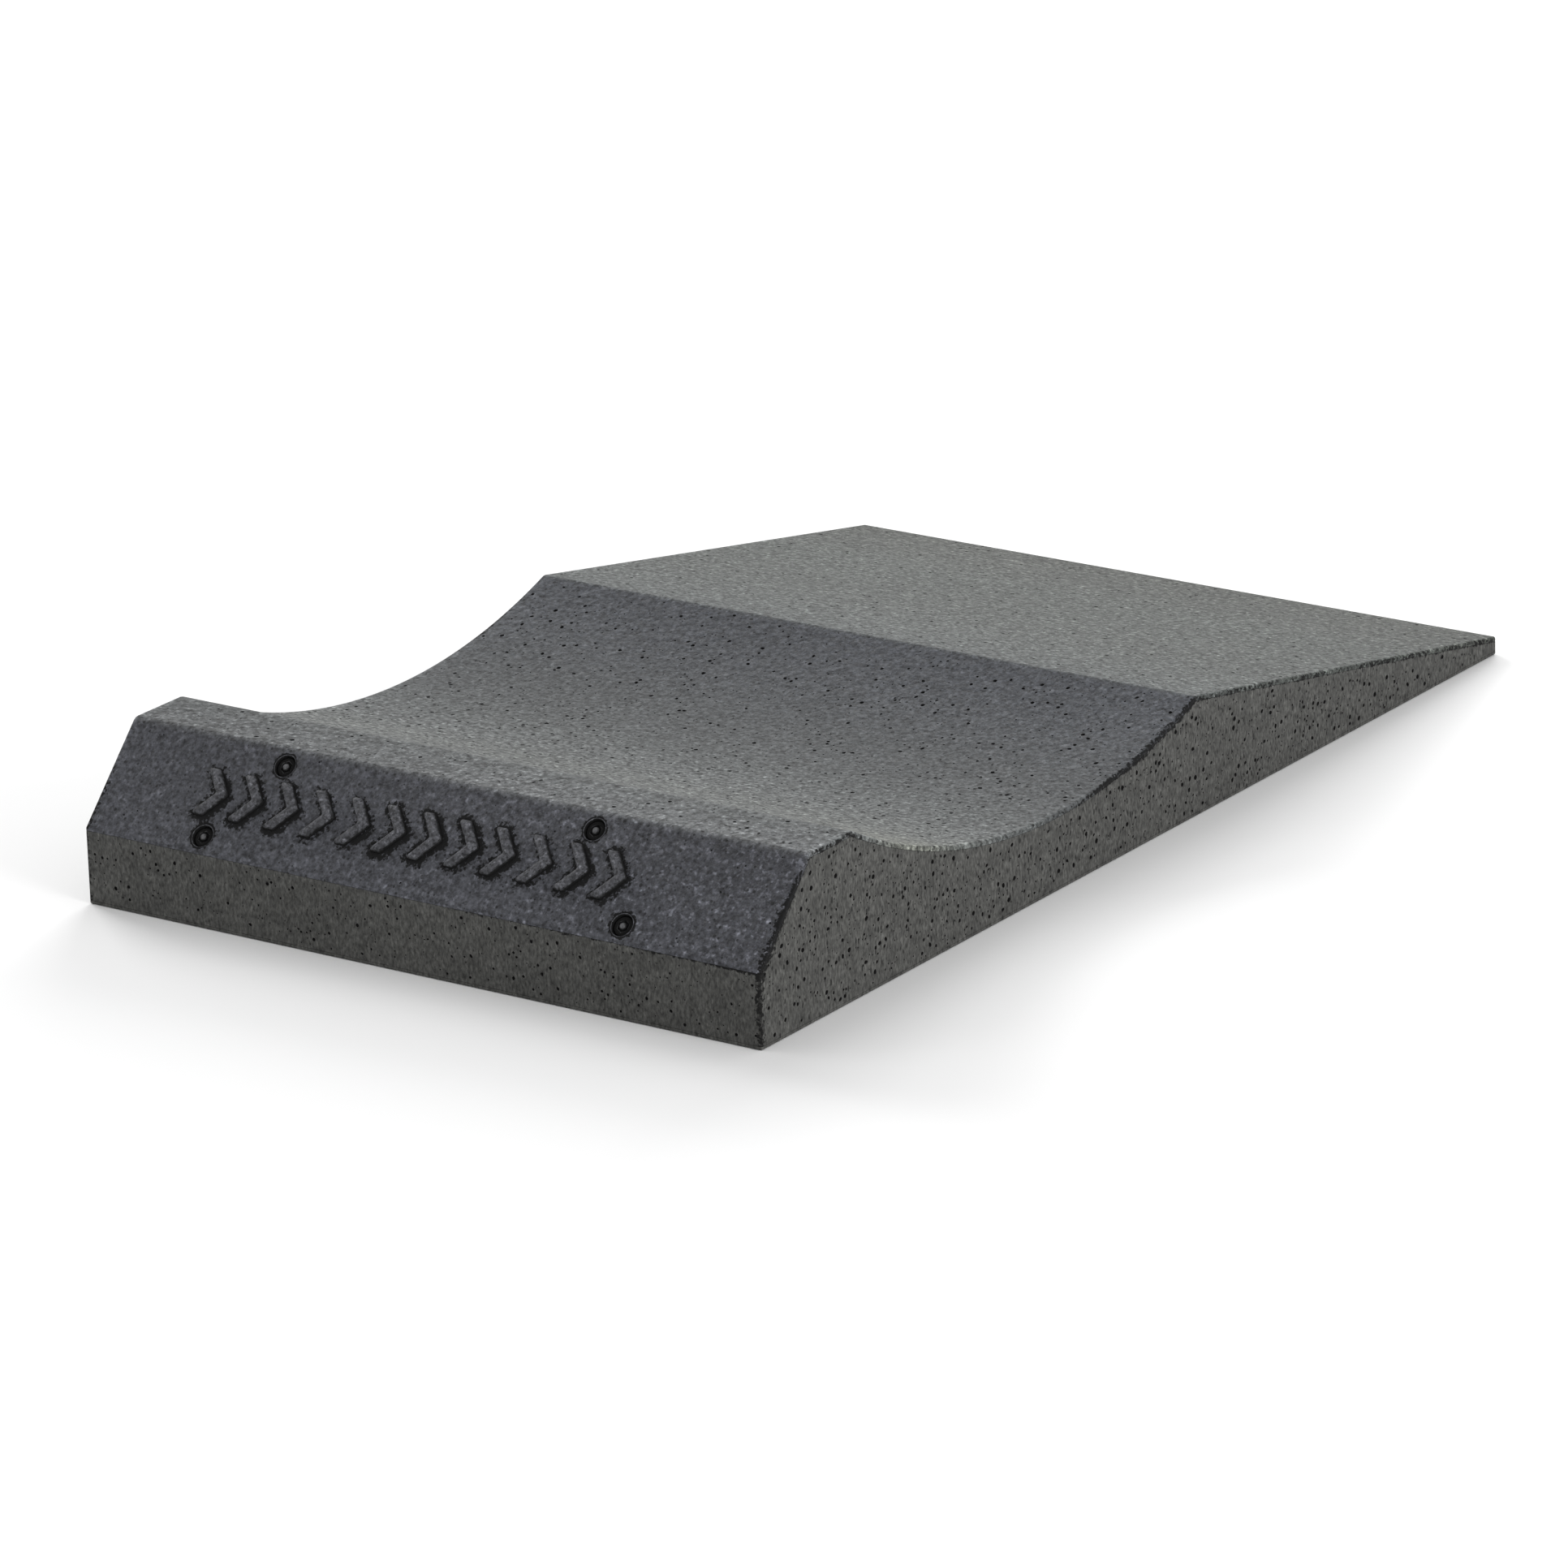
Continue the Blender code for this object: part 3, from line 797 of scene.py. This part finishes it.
def make_badge(material):
    """The badge plate with its soft raised chevrons and its four screw cups."""
    shell = Shell()
    top = TREAD_COAT + SEAM
    floor = top + PLATE_THICKNESS
    left, right = PLATE_MIDDLE - PLATE_WIDTH / 2, PLATE_MIDDLE + PLATE_WIDTH / 2
    low, high = PLATE_FOOT, PLATE_FOOT + PLATE_HEIGHT
    outline = rounded([(left, low), (right, low), (right, high), (left, high)], PLATE_CORNER, 6)
    blocks = [chevron(i, 0.0) for i in range(CHEVRONS)]
    rims = [circle(c, CUP_RADIUS) for c in CUPS.values()]
    holes = [circle(c, SHANK_HOLE) for c in CUPS.values()]
    patch(shell, outline, blocks + rims, [], lambda x, s, d: on_bevel(x, s, top), cell=NO_CELL)
    patch(shell, outline, holes, [], lambda x, s, d: on_bevel(x, s, floor), cell=NO_CELL)
    loop = outline + outline[:1]
    shell.strip([on_bevel(x, s, top) for x, s in loop], [on_bevel(x, s, floor) for x, s in loop])
    # The chevrons' flanks get painted shade, darkest at their foot.
    swell = [(0.0, top), (0.0, 0.0), (0.02, -0.8), (0.22, -1.4), (0.65, -1.85), (1.25, -2.1), (1.9, -2.2)]
    for index in range(CHEVRONS):
        lines = []
        for step, (inset, depth) in enumerate(swell):
            line = []
            for x, s in chevron(index, -inset, max(CHEVRON_ROUND - 0.3 * inset, 0.35)):
                uneven = noise.noise(Vector((x * 0.6, s * 0.6, 5.5))) if step > 1 else 0.0
                line.append(on_bevel(x + 0.30 * uneven, s, depth + 0.16 * uneven))
            lines.append(line + line[:1])
        shell.strips(lines, SWELL_SHADE_MARKS)
        shell.face(lines[-1][:-1])
    cup_floor = floor - CUP_FLOOR
    for centre in CUPS.values():
        # The cup's wall and floor get painted shade.
        rings = [
            (CUP_RADIUS, top), (CUP_RADIUS, 0.35), (CUP_RADIUS - 0.15, 0.1), (CUP_RADIUS - 0.4, 0.02),
            (CUP_BORE + 0.12, 0.12), (CUP_BORE, 0.35), (CUP_BORE, cup_floor), (SHANK_HOLE, cup_floor),
            (SHANK_HOLE, floor),
        ]
        lines = []
        for radius, depth in rings:
            line = [on_bevel(x, s, depth) for x, s in circle(centre, radius)]
            lines.append(line + line[:1])
        shell.strips(lines, CUP_SHADE_MARKS)
    return shell.build("badge_relief", material)


def make_screw(name, centre, material):
    """A low cap screw whose soft-edged pin stands in a six-sided socket, with a ribbed shank."""
    shell = Shell()
    head = TREAD_COAT + PLATE_THICKNESS - CUP_FLOOR - HEAD_HEIGHT
    socket, top, under_head = head + SOCKET_DEPTH, head - PIN_RISE, head + HEAD_HEIGHT
    sixth = math.pi / 3

    def ring(radius, depth):
        line = []
        for k in range(CIRCLE_SIDES):
            angle = 2 * math.pi * k / CIRCLE_SIDES
            reach = radius
            if radius in SOCKET_RADII:
                reach = radius / math.cos((angle + sixth / 2) % sixth - sixth / 2)
            x, s = centre[0] + reach * math.cos(angle), centre[1] + reach * math.sin(angle)
            line.append(on_bevel(x, s, depth))
        return line + line[:1]

    # Rings from the pin's top to the shank's tip: radius, depth, and the mark of the faces before it, painted
    # shade in the socket, round the pin and round the head
    low, mid, high = SOCKET_RADII
    rings = [(0.5, top, 0.0), (1.0, top + 0.06, 0.0), (1.4, top + 0.3, 0.25), (PIN_RADIUS, top + 0.8, 0.8)]
    rings += [(PIN_RADIUS, socket, 1.0), (low, socket, 1.0), (mid, head + 0.15, 0.9), (high, head, 0.75)]
    rings += [(3.85, head, 1.0), (4.28, head + 0.12, 1.0), (HEAD_RADIUS, head + 0.4, 1.0)]
    rings += [(HEAD_RADIUS, under_head, 1.0), (SHANK_RADIUS, under_head, 0.0)]
    depth = under_head + 4.0
    for _ in range(RIBS):
        rings += [(SHANK_RADIUS, depth, 0.0), (RIB_RADIUS, depth + 1.0, 0.0)]
        depth += RIB_PITCH
    rings += [(SHANK_RADIUS, depth, 0.0), (0.4, depth + 2.6, 0.0)]
    lines = [ring(radius, at) for radius, at, _ in rings]
    shell.strips(lines, [mark for _, _, mark in rings[1:]])
    shell.face(lines[0][:-1])
    shell.face(lines[-1][:-1])
    return shell.build(name, material)


# ---- Materials ----

# Where the tread's looks change, in mm, with y from the foot of the nose and x from the middle
BEVEL_FADE, BEVEL_SMOOTHER = (35.5, 38.0), 0.16
# COARSE_GLINT adds painted glints to the bevel's right.
COARSE_X, COARSE_AMOUNT, COARSE_GLINT = (-60.0, 170.0), (0.15, 1.0), 1.35
# EDGE_HIGHLIGHT_GAIN is a painted highlight along the side edges.
EDGE_X, EDGE_HIGHLIGHT_GAIN = (174.5, 177.2), 1.22
# FRONT_LIGHT_TINT is a painted pool of light on the dish's front right corner.
FRONT_Y, FRONT_REACH, FRONT_X, FRONT_LIGHT_TINT = 113.5, (8.0, 36.0), (90.0, 170.0), (1.33, 1.30, 1.18)
# ACROSS_LIGHT_SWING is a painted light gradient from left to right, strongest at the lip and fading across
# the dish.
ACROSS_Y, ACROSS_LIGHT_SWING = (39.5, 171.5), 0.12
LUMP_HEIGHT = 0.0011


class Nodes:
    """Short words for building a material's nodes. Every input may be a value or a socket."""

    def __init__(self, name):
        self.material = bpy.data.materials.new(name)
        self.material.use_nodes = True
        self.tree = self.material.node_tree
        self.coords = self.tree.nodes.new("ShaderNodeTexCoord").outputs["Object"]

    def fill(self, node, inputs):
        for key, value in inputs.items():
            if isinstance(value, bpy.types.NodeSocket):
                self.tree.links.new(value, node.inputs[key])
            else:
                node.inputs[key].default_value = value

    def node(self, kind, inputs, output=0, **settings):
        """Adds a node and gives one of its outputs."""
        node = self.tree.nodes.new("ShaderNode" + kind)
        for key, value in settings.items():
            setattr(node, key, value)
        self.fill(node, inputs)
        return node.outputs[output]

    def axis(self, name):
        return self.node("SeparateXYZ", {0: self.coords}, name)

    def stretch(self, scale):
        """From here on, textures are drawn out along the axes whose scale is below 1."""
        self.coords = self.node("Mapping", {"Vector": self.coords, "Scale": scale})

    def ramp(self, value, stops):
        """A colour that runs through stops of (position, colour)."""
        node = self.tree.nodes.new("ShaderNodeValToRGB")
        band = node.color_ramp
        while len(band.elements) < len(stops):
            band.elements.new(0.5)
        for element, (position, colour) in zip(band.elements, stops):
            element.position = position
            element.color = (*colour, 1.0)
        self.fill(node, {0: value})
        return node.outputs["Color"]

    def noise(self, scale, detail=2.0, rough=0.5):
        inputs = {"Vector": self.coords, "Scale": scale, "Detail": detail, "Roughness": rough}
        return self.node("TexNoise", inputs, "Fac")

    def cells(self, scale, feature="F1", output="Distance"):
        return self.node("TexVoronoi", {"Vector": self.coords, "Scale": scale}, output, feature=feature)

    def spread(self, value, low, high, to_low=0.0, to_high=1.0):
        inputs = {"Value": value, "From Min": low, "From Max": high, "To Min": to_low, "To Max": to_high}
        return self.node("MapRange", inputs, "Result")

    def math(self, operation, first, second=0.0, clamped=False):
        return self.node("Math", {0: first, 1: second}, operation=operation, use_clamp=clamped)

    def times(self, *factors):
        """The product of two or more factors."""
        product = factors[0]
        for factor in factors[1:]:
            product = self.math("MULTIPLY", product, factor)
        return product

    def grown(self, value, share):
        """A value that is larger by a share of itself."""
        return self.math("MULTIPLY", value, self.math("ADD", 1.0, share))

    def mix(self, factor, first, second, blend="MIX"):
        inputs = {0: factor, 6: first, 7: second}
        return self.node("Mix", inputs, 2, data_type="RGBA", blend_type=blend)

    def bump(self, height, distance, strength=1.0, onto=None):
        inputs = {"Height": height, "Distance": distance, "Strength": strength}
        if onto is not None:
            inputs["Normal"] = onto
        return self.node("Bump", inputs, "Normal")

    def attribute(self, name):
        return self.node("Attribute", {}, "Fac", attribute_name=name)

    def surface(self, colour, roughness, normal=None, specular=0.5):
        """Sets the shader and gives the material."""
        inputs = {"Base Color": colour, "Roughness": roughness, "Specular IOR Level": specular}
        if normal is not None:
            inputs["Normal"] = normal
        self.fill(self.tree.nodes["Principled BSDF"], inputs)
        return self.material


def grey(value, tint=(1.0, 1.0, 1.0)):
    """A grey, or a tint at a level, as a shader's colour."""
    return (value * tint[0], value * tint[1], value * tint[2], 1.0)


def metres(values, origin=0.0):
    """Millimetres, counted from an origin, as metres."""
    return [(v - origin) / 1000 for v in values]


def coat(
    name, colour, grain, grain_size, flecks, glint, bump_height, rough=0.82, rim=0.0, zones=None, drawn=1.0,
    mottle=(130.0, 0.2),
):
    """The hard coat: blotchy charcoal with grain, dark flecks, light grains that are painted glints, faces
    darkened by their mark, such as painted shade in pits and recesses, and a granular bump.

    flecks is (spacing, reach, darkness). rim is the width in mm of the ragged painted dark line along edges.
    drawn below 1 draws the grain out upwards. mottle is the scale and swing of the clouds in the grain.
    zones gives tints and amounts of grain and glint along the length; the tints are painted light and shade.
    With it come a smoother bevel that is coarser to the right with more painted glints there, painted
    highlights along the side edges, a painted pool of light on the dish's front right corner and a painted
    light gradient from left to right.
    """
    n = Nodes(name)
    amount, sparkle, tint = 1.0, 1.0, grey(1.0, colour)
    if zones is not None:
        x, y = n.axis("X"), n.axis("Y")
        along = n.spread(y, -MIDDLE / 1000, MIDDLE / 1000)
        # The zones' tints are painted light and shade.
        tint = n.mix(1.0, tint, n.ramp(along, [(at, shade) for at, shade, _, _ in zones]), "MULTIPLY")
        amount = n.ramp(along, [(at, (much, much, much)) for at, _, much, _ in zones])
        sparkle = n.ramp(along, [(at, (much, much, much)) for at, _, _, much in zones])
    blotches = n.spread(n.noise(11.0, 4.0, 0.6), 0.3, 0.7, 0.93, 1.07)
    ragged = n.math("SUBTRACT", n.noise(560.0, 3.0, 0.6), 0.5)
    clouds = n.spread(n.noise(mottle[0], 3.0, 0.6), 0.32, 0.68, -mottle[1], mottle[1])
    n.stretch((1.0, 1.0, drawn))
    fine = n.noise(1.0 / grain_size, 4.0, 0.62)
    grains = n.spread(fine, 0.32, 0.68, -grain, grain)
    level = blotches
    for swing in (clouds, grains):
        level = n.grown(level, n.times(swing, amount))
    spacing, reach, darkness = flecks
    dots = n.cells(1.0 / spacing)
    chance = n.cells(1.0 / spacing, output="Color")
    speckle = n.math("SUBTRACT", dots, n.spread(chance, 0.35, 0.95, 0.0, reach))
    level = n.times(level, n.spread(speckle, -0.04, 0.05, 1.0 - darkness, 1.0))
    light = n.spread(n.noise(0.85 / grain_size, 2.0, 0.5), 0.56, 0.72, 0.0, 1.0)
    gain = n.times(glint, sparkle)
    roughness = n.spread(n.noise(420.0, 3.0, 0.6), 0.3, 0.7, rough - 0.1, rough + 0.1)
    coarse = None
    if zones is not None:
        # The bevel is smoother, and to the right it has coarser lumps and more painted glints.
        bevel = n.spread(y, *metres(BEVEL_FADE, MIDDLE), 1.0, 0.0)
        coarse = n.times(bevel, n.spread(x, *metres(COARSE_X), *COARSE_AMOUNT))
        gain = n.math("ADD", gain, n.times(coarse, COARSE_GLINT))
        roughness = n.math("SUBTRACT", roughness, n.times(bevel, BEVEL_SMOOTHER))
        # A painted highlight along the side edges.
        edge = n.spread(n.math("ABSOLUTE", x), *metres(EDGE_X), 1.0, EDGE_HIGHLIGHT_GAIN)
        # A painted pool of light on the dish's front right corner.
        off = n.math("ABSOLUTE", n.math("ADD", y, (MIDDLE - FRONT_Y) / 1000))
        front = n.times(n.spread(off, *metres(FRONT_REACH), 1.0, 0.0), n.spread(x, *metres(FRONT_X)))
        tint = n.mix(front, tint, grey(1.0, FRONT_LIGHT_TINT), "MULTIPLY")
        # A painted light gradient from left to right, off the bevel.
        swing = n.spread(x, *metres((-HALF, HALF)), -ACROSS_LIGHT_SWING, ACROSS_LIGHT_SWING)
        across = n.times(n.spread(y, *metres(ACROSS_Y, MIDDLE), 1.0, 0.0), swing)
        across = n.times(across, n.math("SUBTRACT", 1.0, bevel))
        level = n.times(level, n.grown(edge, across))
    # Light grains: painted glints.
    level = n.grown(level, n.times(light, gain))
    shaded = n.mix(1.0, tint, level, "MULTIPLY")
    # The pit attribute is each face's mark: painted shade in pits, recesses and along edges, and the nose
    # corners' dark line.
    mark = n.attribute("pit")
    between = n.times(mark, n.math("SUBTRACT", 1.0, mark))
    mark = n.math("ADD", mark, n.times(ragged, between, 12.0), clamped=True)
    # The painted dark line along marked edges: painted shade along the coat's edges and round the badge's
    # work, with a painted shadow to the chevrons' lower right, and on the side skin a dark line down the
    # nose's corners.
    if rim:
        width = n.spread(n.noise(34.0, 2.0, 0.5), 0.36, 0.64, 0.3 * rim, 1.5 * rim)
        distance = n.math("ADD", n.times(n.attribute("rim"), FAR), n.times(ragged, 9.0))
        line = n.spread(n.math("SUBTRACT", distance, width), -0.4, 0.4, 0.97, 0.0)
        mark = n.math("MAXIMUM", mark, line)
    lumps = n.cells(1.0 / (1.9 * grain_size), "SMOOTH_F1")
    normal = n.bump(lumps, bump_height)
    normal = n.bump(fine, bump_height * 0.9, onto=normal)
    if coarse is not None:
        lump_height = n.times(n.noise(620.0, 3.0, 0.6), n.math("ADD", coarse, 0.25))
        normal = n.bump(lump_height, LUMP_HEIGHT, onto=normal)
    return n.surface(n.mix(mark, shaded, grey(0.004)), n.math("MAXIMUM", roughness, mark), normal, 0.3)


def tread_zones():
    """Tint, grain and glint by distance from the nose, over bevel, lip, dish, its rise and the ramp. The
    tints are painted light and shade: bevel and rise darker and bluer, the lip brighter.
    """
    stops = [
        (0.0, (0.68, 0.68, 0.79), 0.68, 0.40),
        (20.0, (0.67, 0.67, 0.78), 0.68, 0.40),
        (BEVEL_RUN - 1.5, (0.61, 0.61, 0.71), 0.68, 0.40),
        (BEVEL_RUN + 1.5, (1.08, 1.10, 1.12), 0.85, 0.90),
        (50.0, (0.96, 0.98, 1.00), 0.85, 0.90),
        (60.0, (0.91, 0.94, 0.95), 0.85, 0.90),
        (68.0, (0.85, 0.88, 0.88), 0.85, 0.90),
        (80.0, (0.92, 0.95, 0.94), 0.95, 0.90),
        (100.0, (0.92, 0.95, 0.93), 1.0, 1.0),
        (150.0, (0.99, 1.02, 0.97), 1.0, 1.0),
        (180.0, (0.90, 0.93, 0.92), 1.0, 0.9),
        (210.0, (0.77, 0.80, 0.80), 0.85, 0.7),
        (235.0, (0.68, 0.70, 0.72), 0.72, 0.5),
        (260.0, (0.64, 0.66, 0.69), 0.65, 0.45),
        (305.0, (0.68, 0.70, 0.78), 0.60, 0.40),
        (PEAK - 1.5, (0.65, 0.67, 0.77), 0.60, 0.40),
        (PEAK + 1.0, (0.74, 0.79, 0.77), 1.0, 1.0),
        (370.0, (0.79, 0.84, 0.80), 1.0, 1.0),
        (420.0, (0.70, 0.74, 0.69), 1.0, 1.0),
        (515.0, (0.69, 0.74, 0.68), 1.0, 1.0),
        # A painted shade line across the ramp, standing for a faint crease.
        (553.0, (0.65, 0.68, 0.62), 1.0, 1.0),
        (556.0, (0.53, 0.55, 0.50), 1.0, 1.0),
        (559.0, (0.64, 0.67, 0.61), 1.0, 1.0),
        (LENGTH, (0.56, 0.58, 0.51), 1.0, 1.0),
    ]
    return [(y / LENGTH, *rest) for y, *rest in stops]


def foam_material():
    """Bare expanded foam: pressed white beads with fine dark seams between them."""
    n = Nodes("foam_beads")
    beads = n.cells(1.0 / 0.004, "DISTANCE_TO_EDGE")
    seams = n.spread(beads, 0.0, 0.06)
    tone = n.spread(n.noise(90.0, 3.0), 0.3, 0.7, 0.92, 1.0)
    white = n.mix(seams, grey(0.52), grey(0.82))
    roughness = n.spread(n.noise(300.0), 0.3, 0.7, 0.8, 0.95)
    return n.surface(n.mix(1.0, white, tone, "MULTIPLY"), roughness, n.bump(seams, 0.0003, 0.8))


def plug_material():
    """Black moulded plastic with a faint grain."""
    n = Nodes("plug_plastic")
    grain = n.noise(1500.0, 3.0, 0.6)
    roughness = n.spread(grain, 0.3, 0.7, 0.4, 0.55)
    return n.surface(n.mix(grain, grey(0.018), grey(0.035)), roughness, n.bump(grain, 0.00005, 0.6))


def floor_material():
    """A matt, nearly white floor."""
    n = Nodes("studio_floor")
    tone = n.spread(n.noise(3.0, 2.0), 0.3, 0.7, 0.995, 1.0)
    return n.surface(n.mix(1.0, grey(0.90), tone, "MULTIPLY"), 0.9, specular=0.1)


# ---- Studio ----

WORLD_LIGHT = 0.628
FLOOR_REACH, FLOOR_DROP = 30.0, 0.0002

# Place and size in metres, power in watts
LAMPS = {
    "back": ((-1.2, 3.2, 1.6), (2.0, 1.2), 79.0),
    "left_back": ((-7.5, 3.5, 4.0), (4.0, 3.0), 434.0),
    "right": ((3.2, -0.6, 1.0), (1.6, 1.2), 56.0),
    "upper_left": ((-2.4, -1.3, 2.3), (1.0, 1.0), 7.0),
}

# Azimuth, elevation and roll in degrees, place in metres, focal length and sensor in millimetres
CAMERA_TURN = (35.09, 19.04, -1.67)
CAMERA_PLACE = (2.090, -3.0015, 1.258)
CAMERA_LENS, CAMERA_SENSOR = 196.8, 36.0


def area_light(name, place, size, power):
    """A white lamp that faces the object."""
    data = bpy.data.lights.new(name, "AREA")
    data.shape = "RECTANGLE"
    data.size, data.size_y = size
    data.energy = power
    lamp = bpy.data.objects.new(name, data)
    bpy.context.scene.collection.objects.link(lamp)
    lamp.location = place
    lamp.rotation_euler = (-Vector(place)).to_track_quat("-Z", "Y").to_euler()


def make_studio():
    """A pale floor, a bright world and four lamps."""
    scene = bpy.context.scene
    scene.view_settings.view_transform = "Standard"
    world = bpy.data.worlds.new("studio")
    world.use_nodes = True
    background = world.node_tree.nodes["Background"]
    background.inputs["Color"].default_value = (1.0, 1.0, 1.0, 1.0)
    background.inputs["Strength"].default_value = WORLD_LIGHT
    scene.world = world
    mesh = bpy.data.meshes.new("studio_floor")
    far = FLOOR_REACH
    mesh.from_pydata([(-far, -far, 0), (far, -far, 0), (far, far, 0), (-far, far, 0)], [], [(0, 1, 2, 3)])
    floor = bpy.data.objects.new("studio_floor", mesh)
    floor.location.z = -FLOOR_DROP
    scene.collection.objects.link(floor)
    mesh.materials.append(floor_material())
    for name, (place, size, power) in LAMPS.items():
        area_light(name, place, size, power)


def make_camera():
    """The photo's camera, as solved from the object's straight edges."""
    azimuth, elevation, roll = (math.radians(angle) for angle in CAMERA_TURN)
    flat = math.cos(elevation)
    ahead = Vector((-math.sin(azimuth) * flat, math.cos(azimuth) * flat, -math.sin(elevation)))
    level = Vector((math.cos(azimuth), math.sin(azimuth), 0.0))
    upright = level.cross(ahead)
    right = level * math.cos(roll) + upright * math.sin(roll)
    up = right.cross(ahead)
    data = bpy.data.cameras.new("camera")
    data.sensor_width = CAMERA_SENSOR
    data.lens = CAMERA_LENS
    data.clip_end = 100.0
    camera = bpy.data.objects.new("camera", data)
    bpy.context.scene.collection.objects.link(camera)
    turn = Matrix((right, up, -ahead)).transposed().to_4x4()
    camera.matrix_world = Matrix.Translation(CAMERA_PLACE) @ turn
    bpy.context.scene.camera = camera


# ---- The object ----


def main():
    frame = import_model()
    tread = coat(
        "tread_coat", (0.0790, 0.0816, 0.0818), grain=0.95, grain_size=0.0020, flecks=(0.0026, 0.34, 0.76),
        glint=1.4, bump_height=0.00040, rough=0.80, rim=1.1, zones=tread_zones(), mottle=(270.0, 0.5),
    )
    side = coat(
        "side_coat", (0.061, 0.061, 0.0575), grain=0.58, grain_size=0.0013, flecks=(0.0021, 0.33, 0.75),
        glint=0.4, bump_height=0.00018, rim=1.1, drawn=0.45,
    )
    # The badge coat's colour is the tread coat's with the bevel's painted shade: darker and bluer.
    badge = coat(
        "badge_coat", (0.057, 0.058, 0.065), grain=0.80, grain_size=0.0015, flecks=(0.0026, 0.2, 0.6),
        glint=1.3, bump_height=0.00050, rough=0.66, mottle=(270.0, 0.4),
    )
    metal = coat(
        "screw_coat", (0.085, 0.086, 0.090), grain=0.50, grain_size=0.0010, flecks=(0.0026, 0.1, 0.5),
        glint=0.4, bump_height=0.00012, rough=0.55,
    )
    made = [
        (make_tread_skin(tread), "tread_coat", "tread"),
        (make_side_skin(side), "side_coat", "side"),
        (make_base_skin(side), "base_coat", "base"),
        (make_badge(badge), "badge_plate", "badge"),
    ]
    for name, centre in CUPS.items():
        made.append((make_screw(f"screw_{name}", centre, metal), f"badge_screw_{name}", "screw"))
    for piece, node, slot in made:
        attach(piece, "root")
        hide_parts(node)
    foam, plug = foam_material(), plug_material()
    for name, node in frame["nodes"].items():
        if name.startswith("foam_"):
            node.data.materials.clear()
            node.data.materials.append(foam if name == "foam_core" else plug)
    make_studio()
    make_camera()


main()
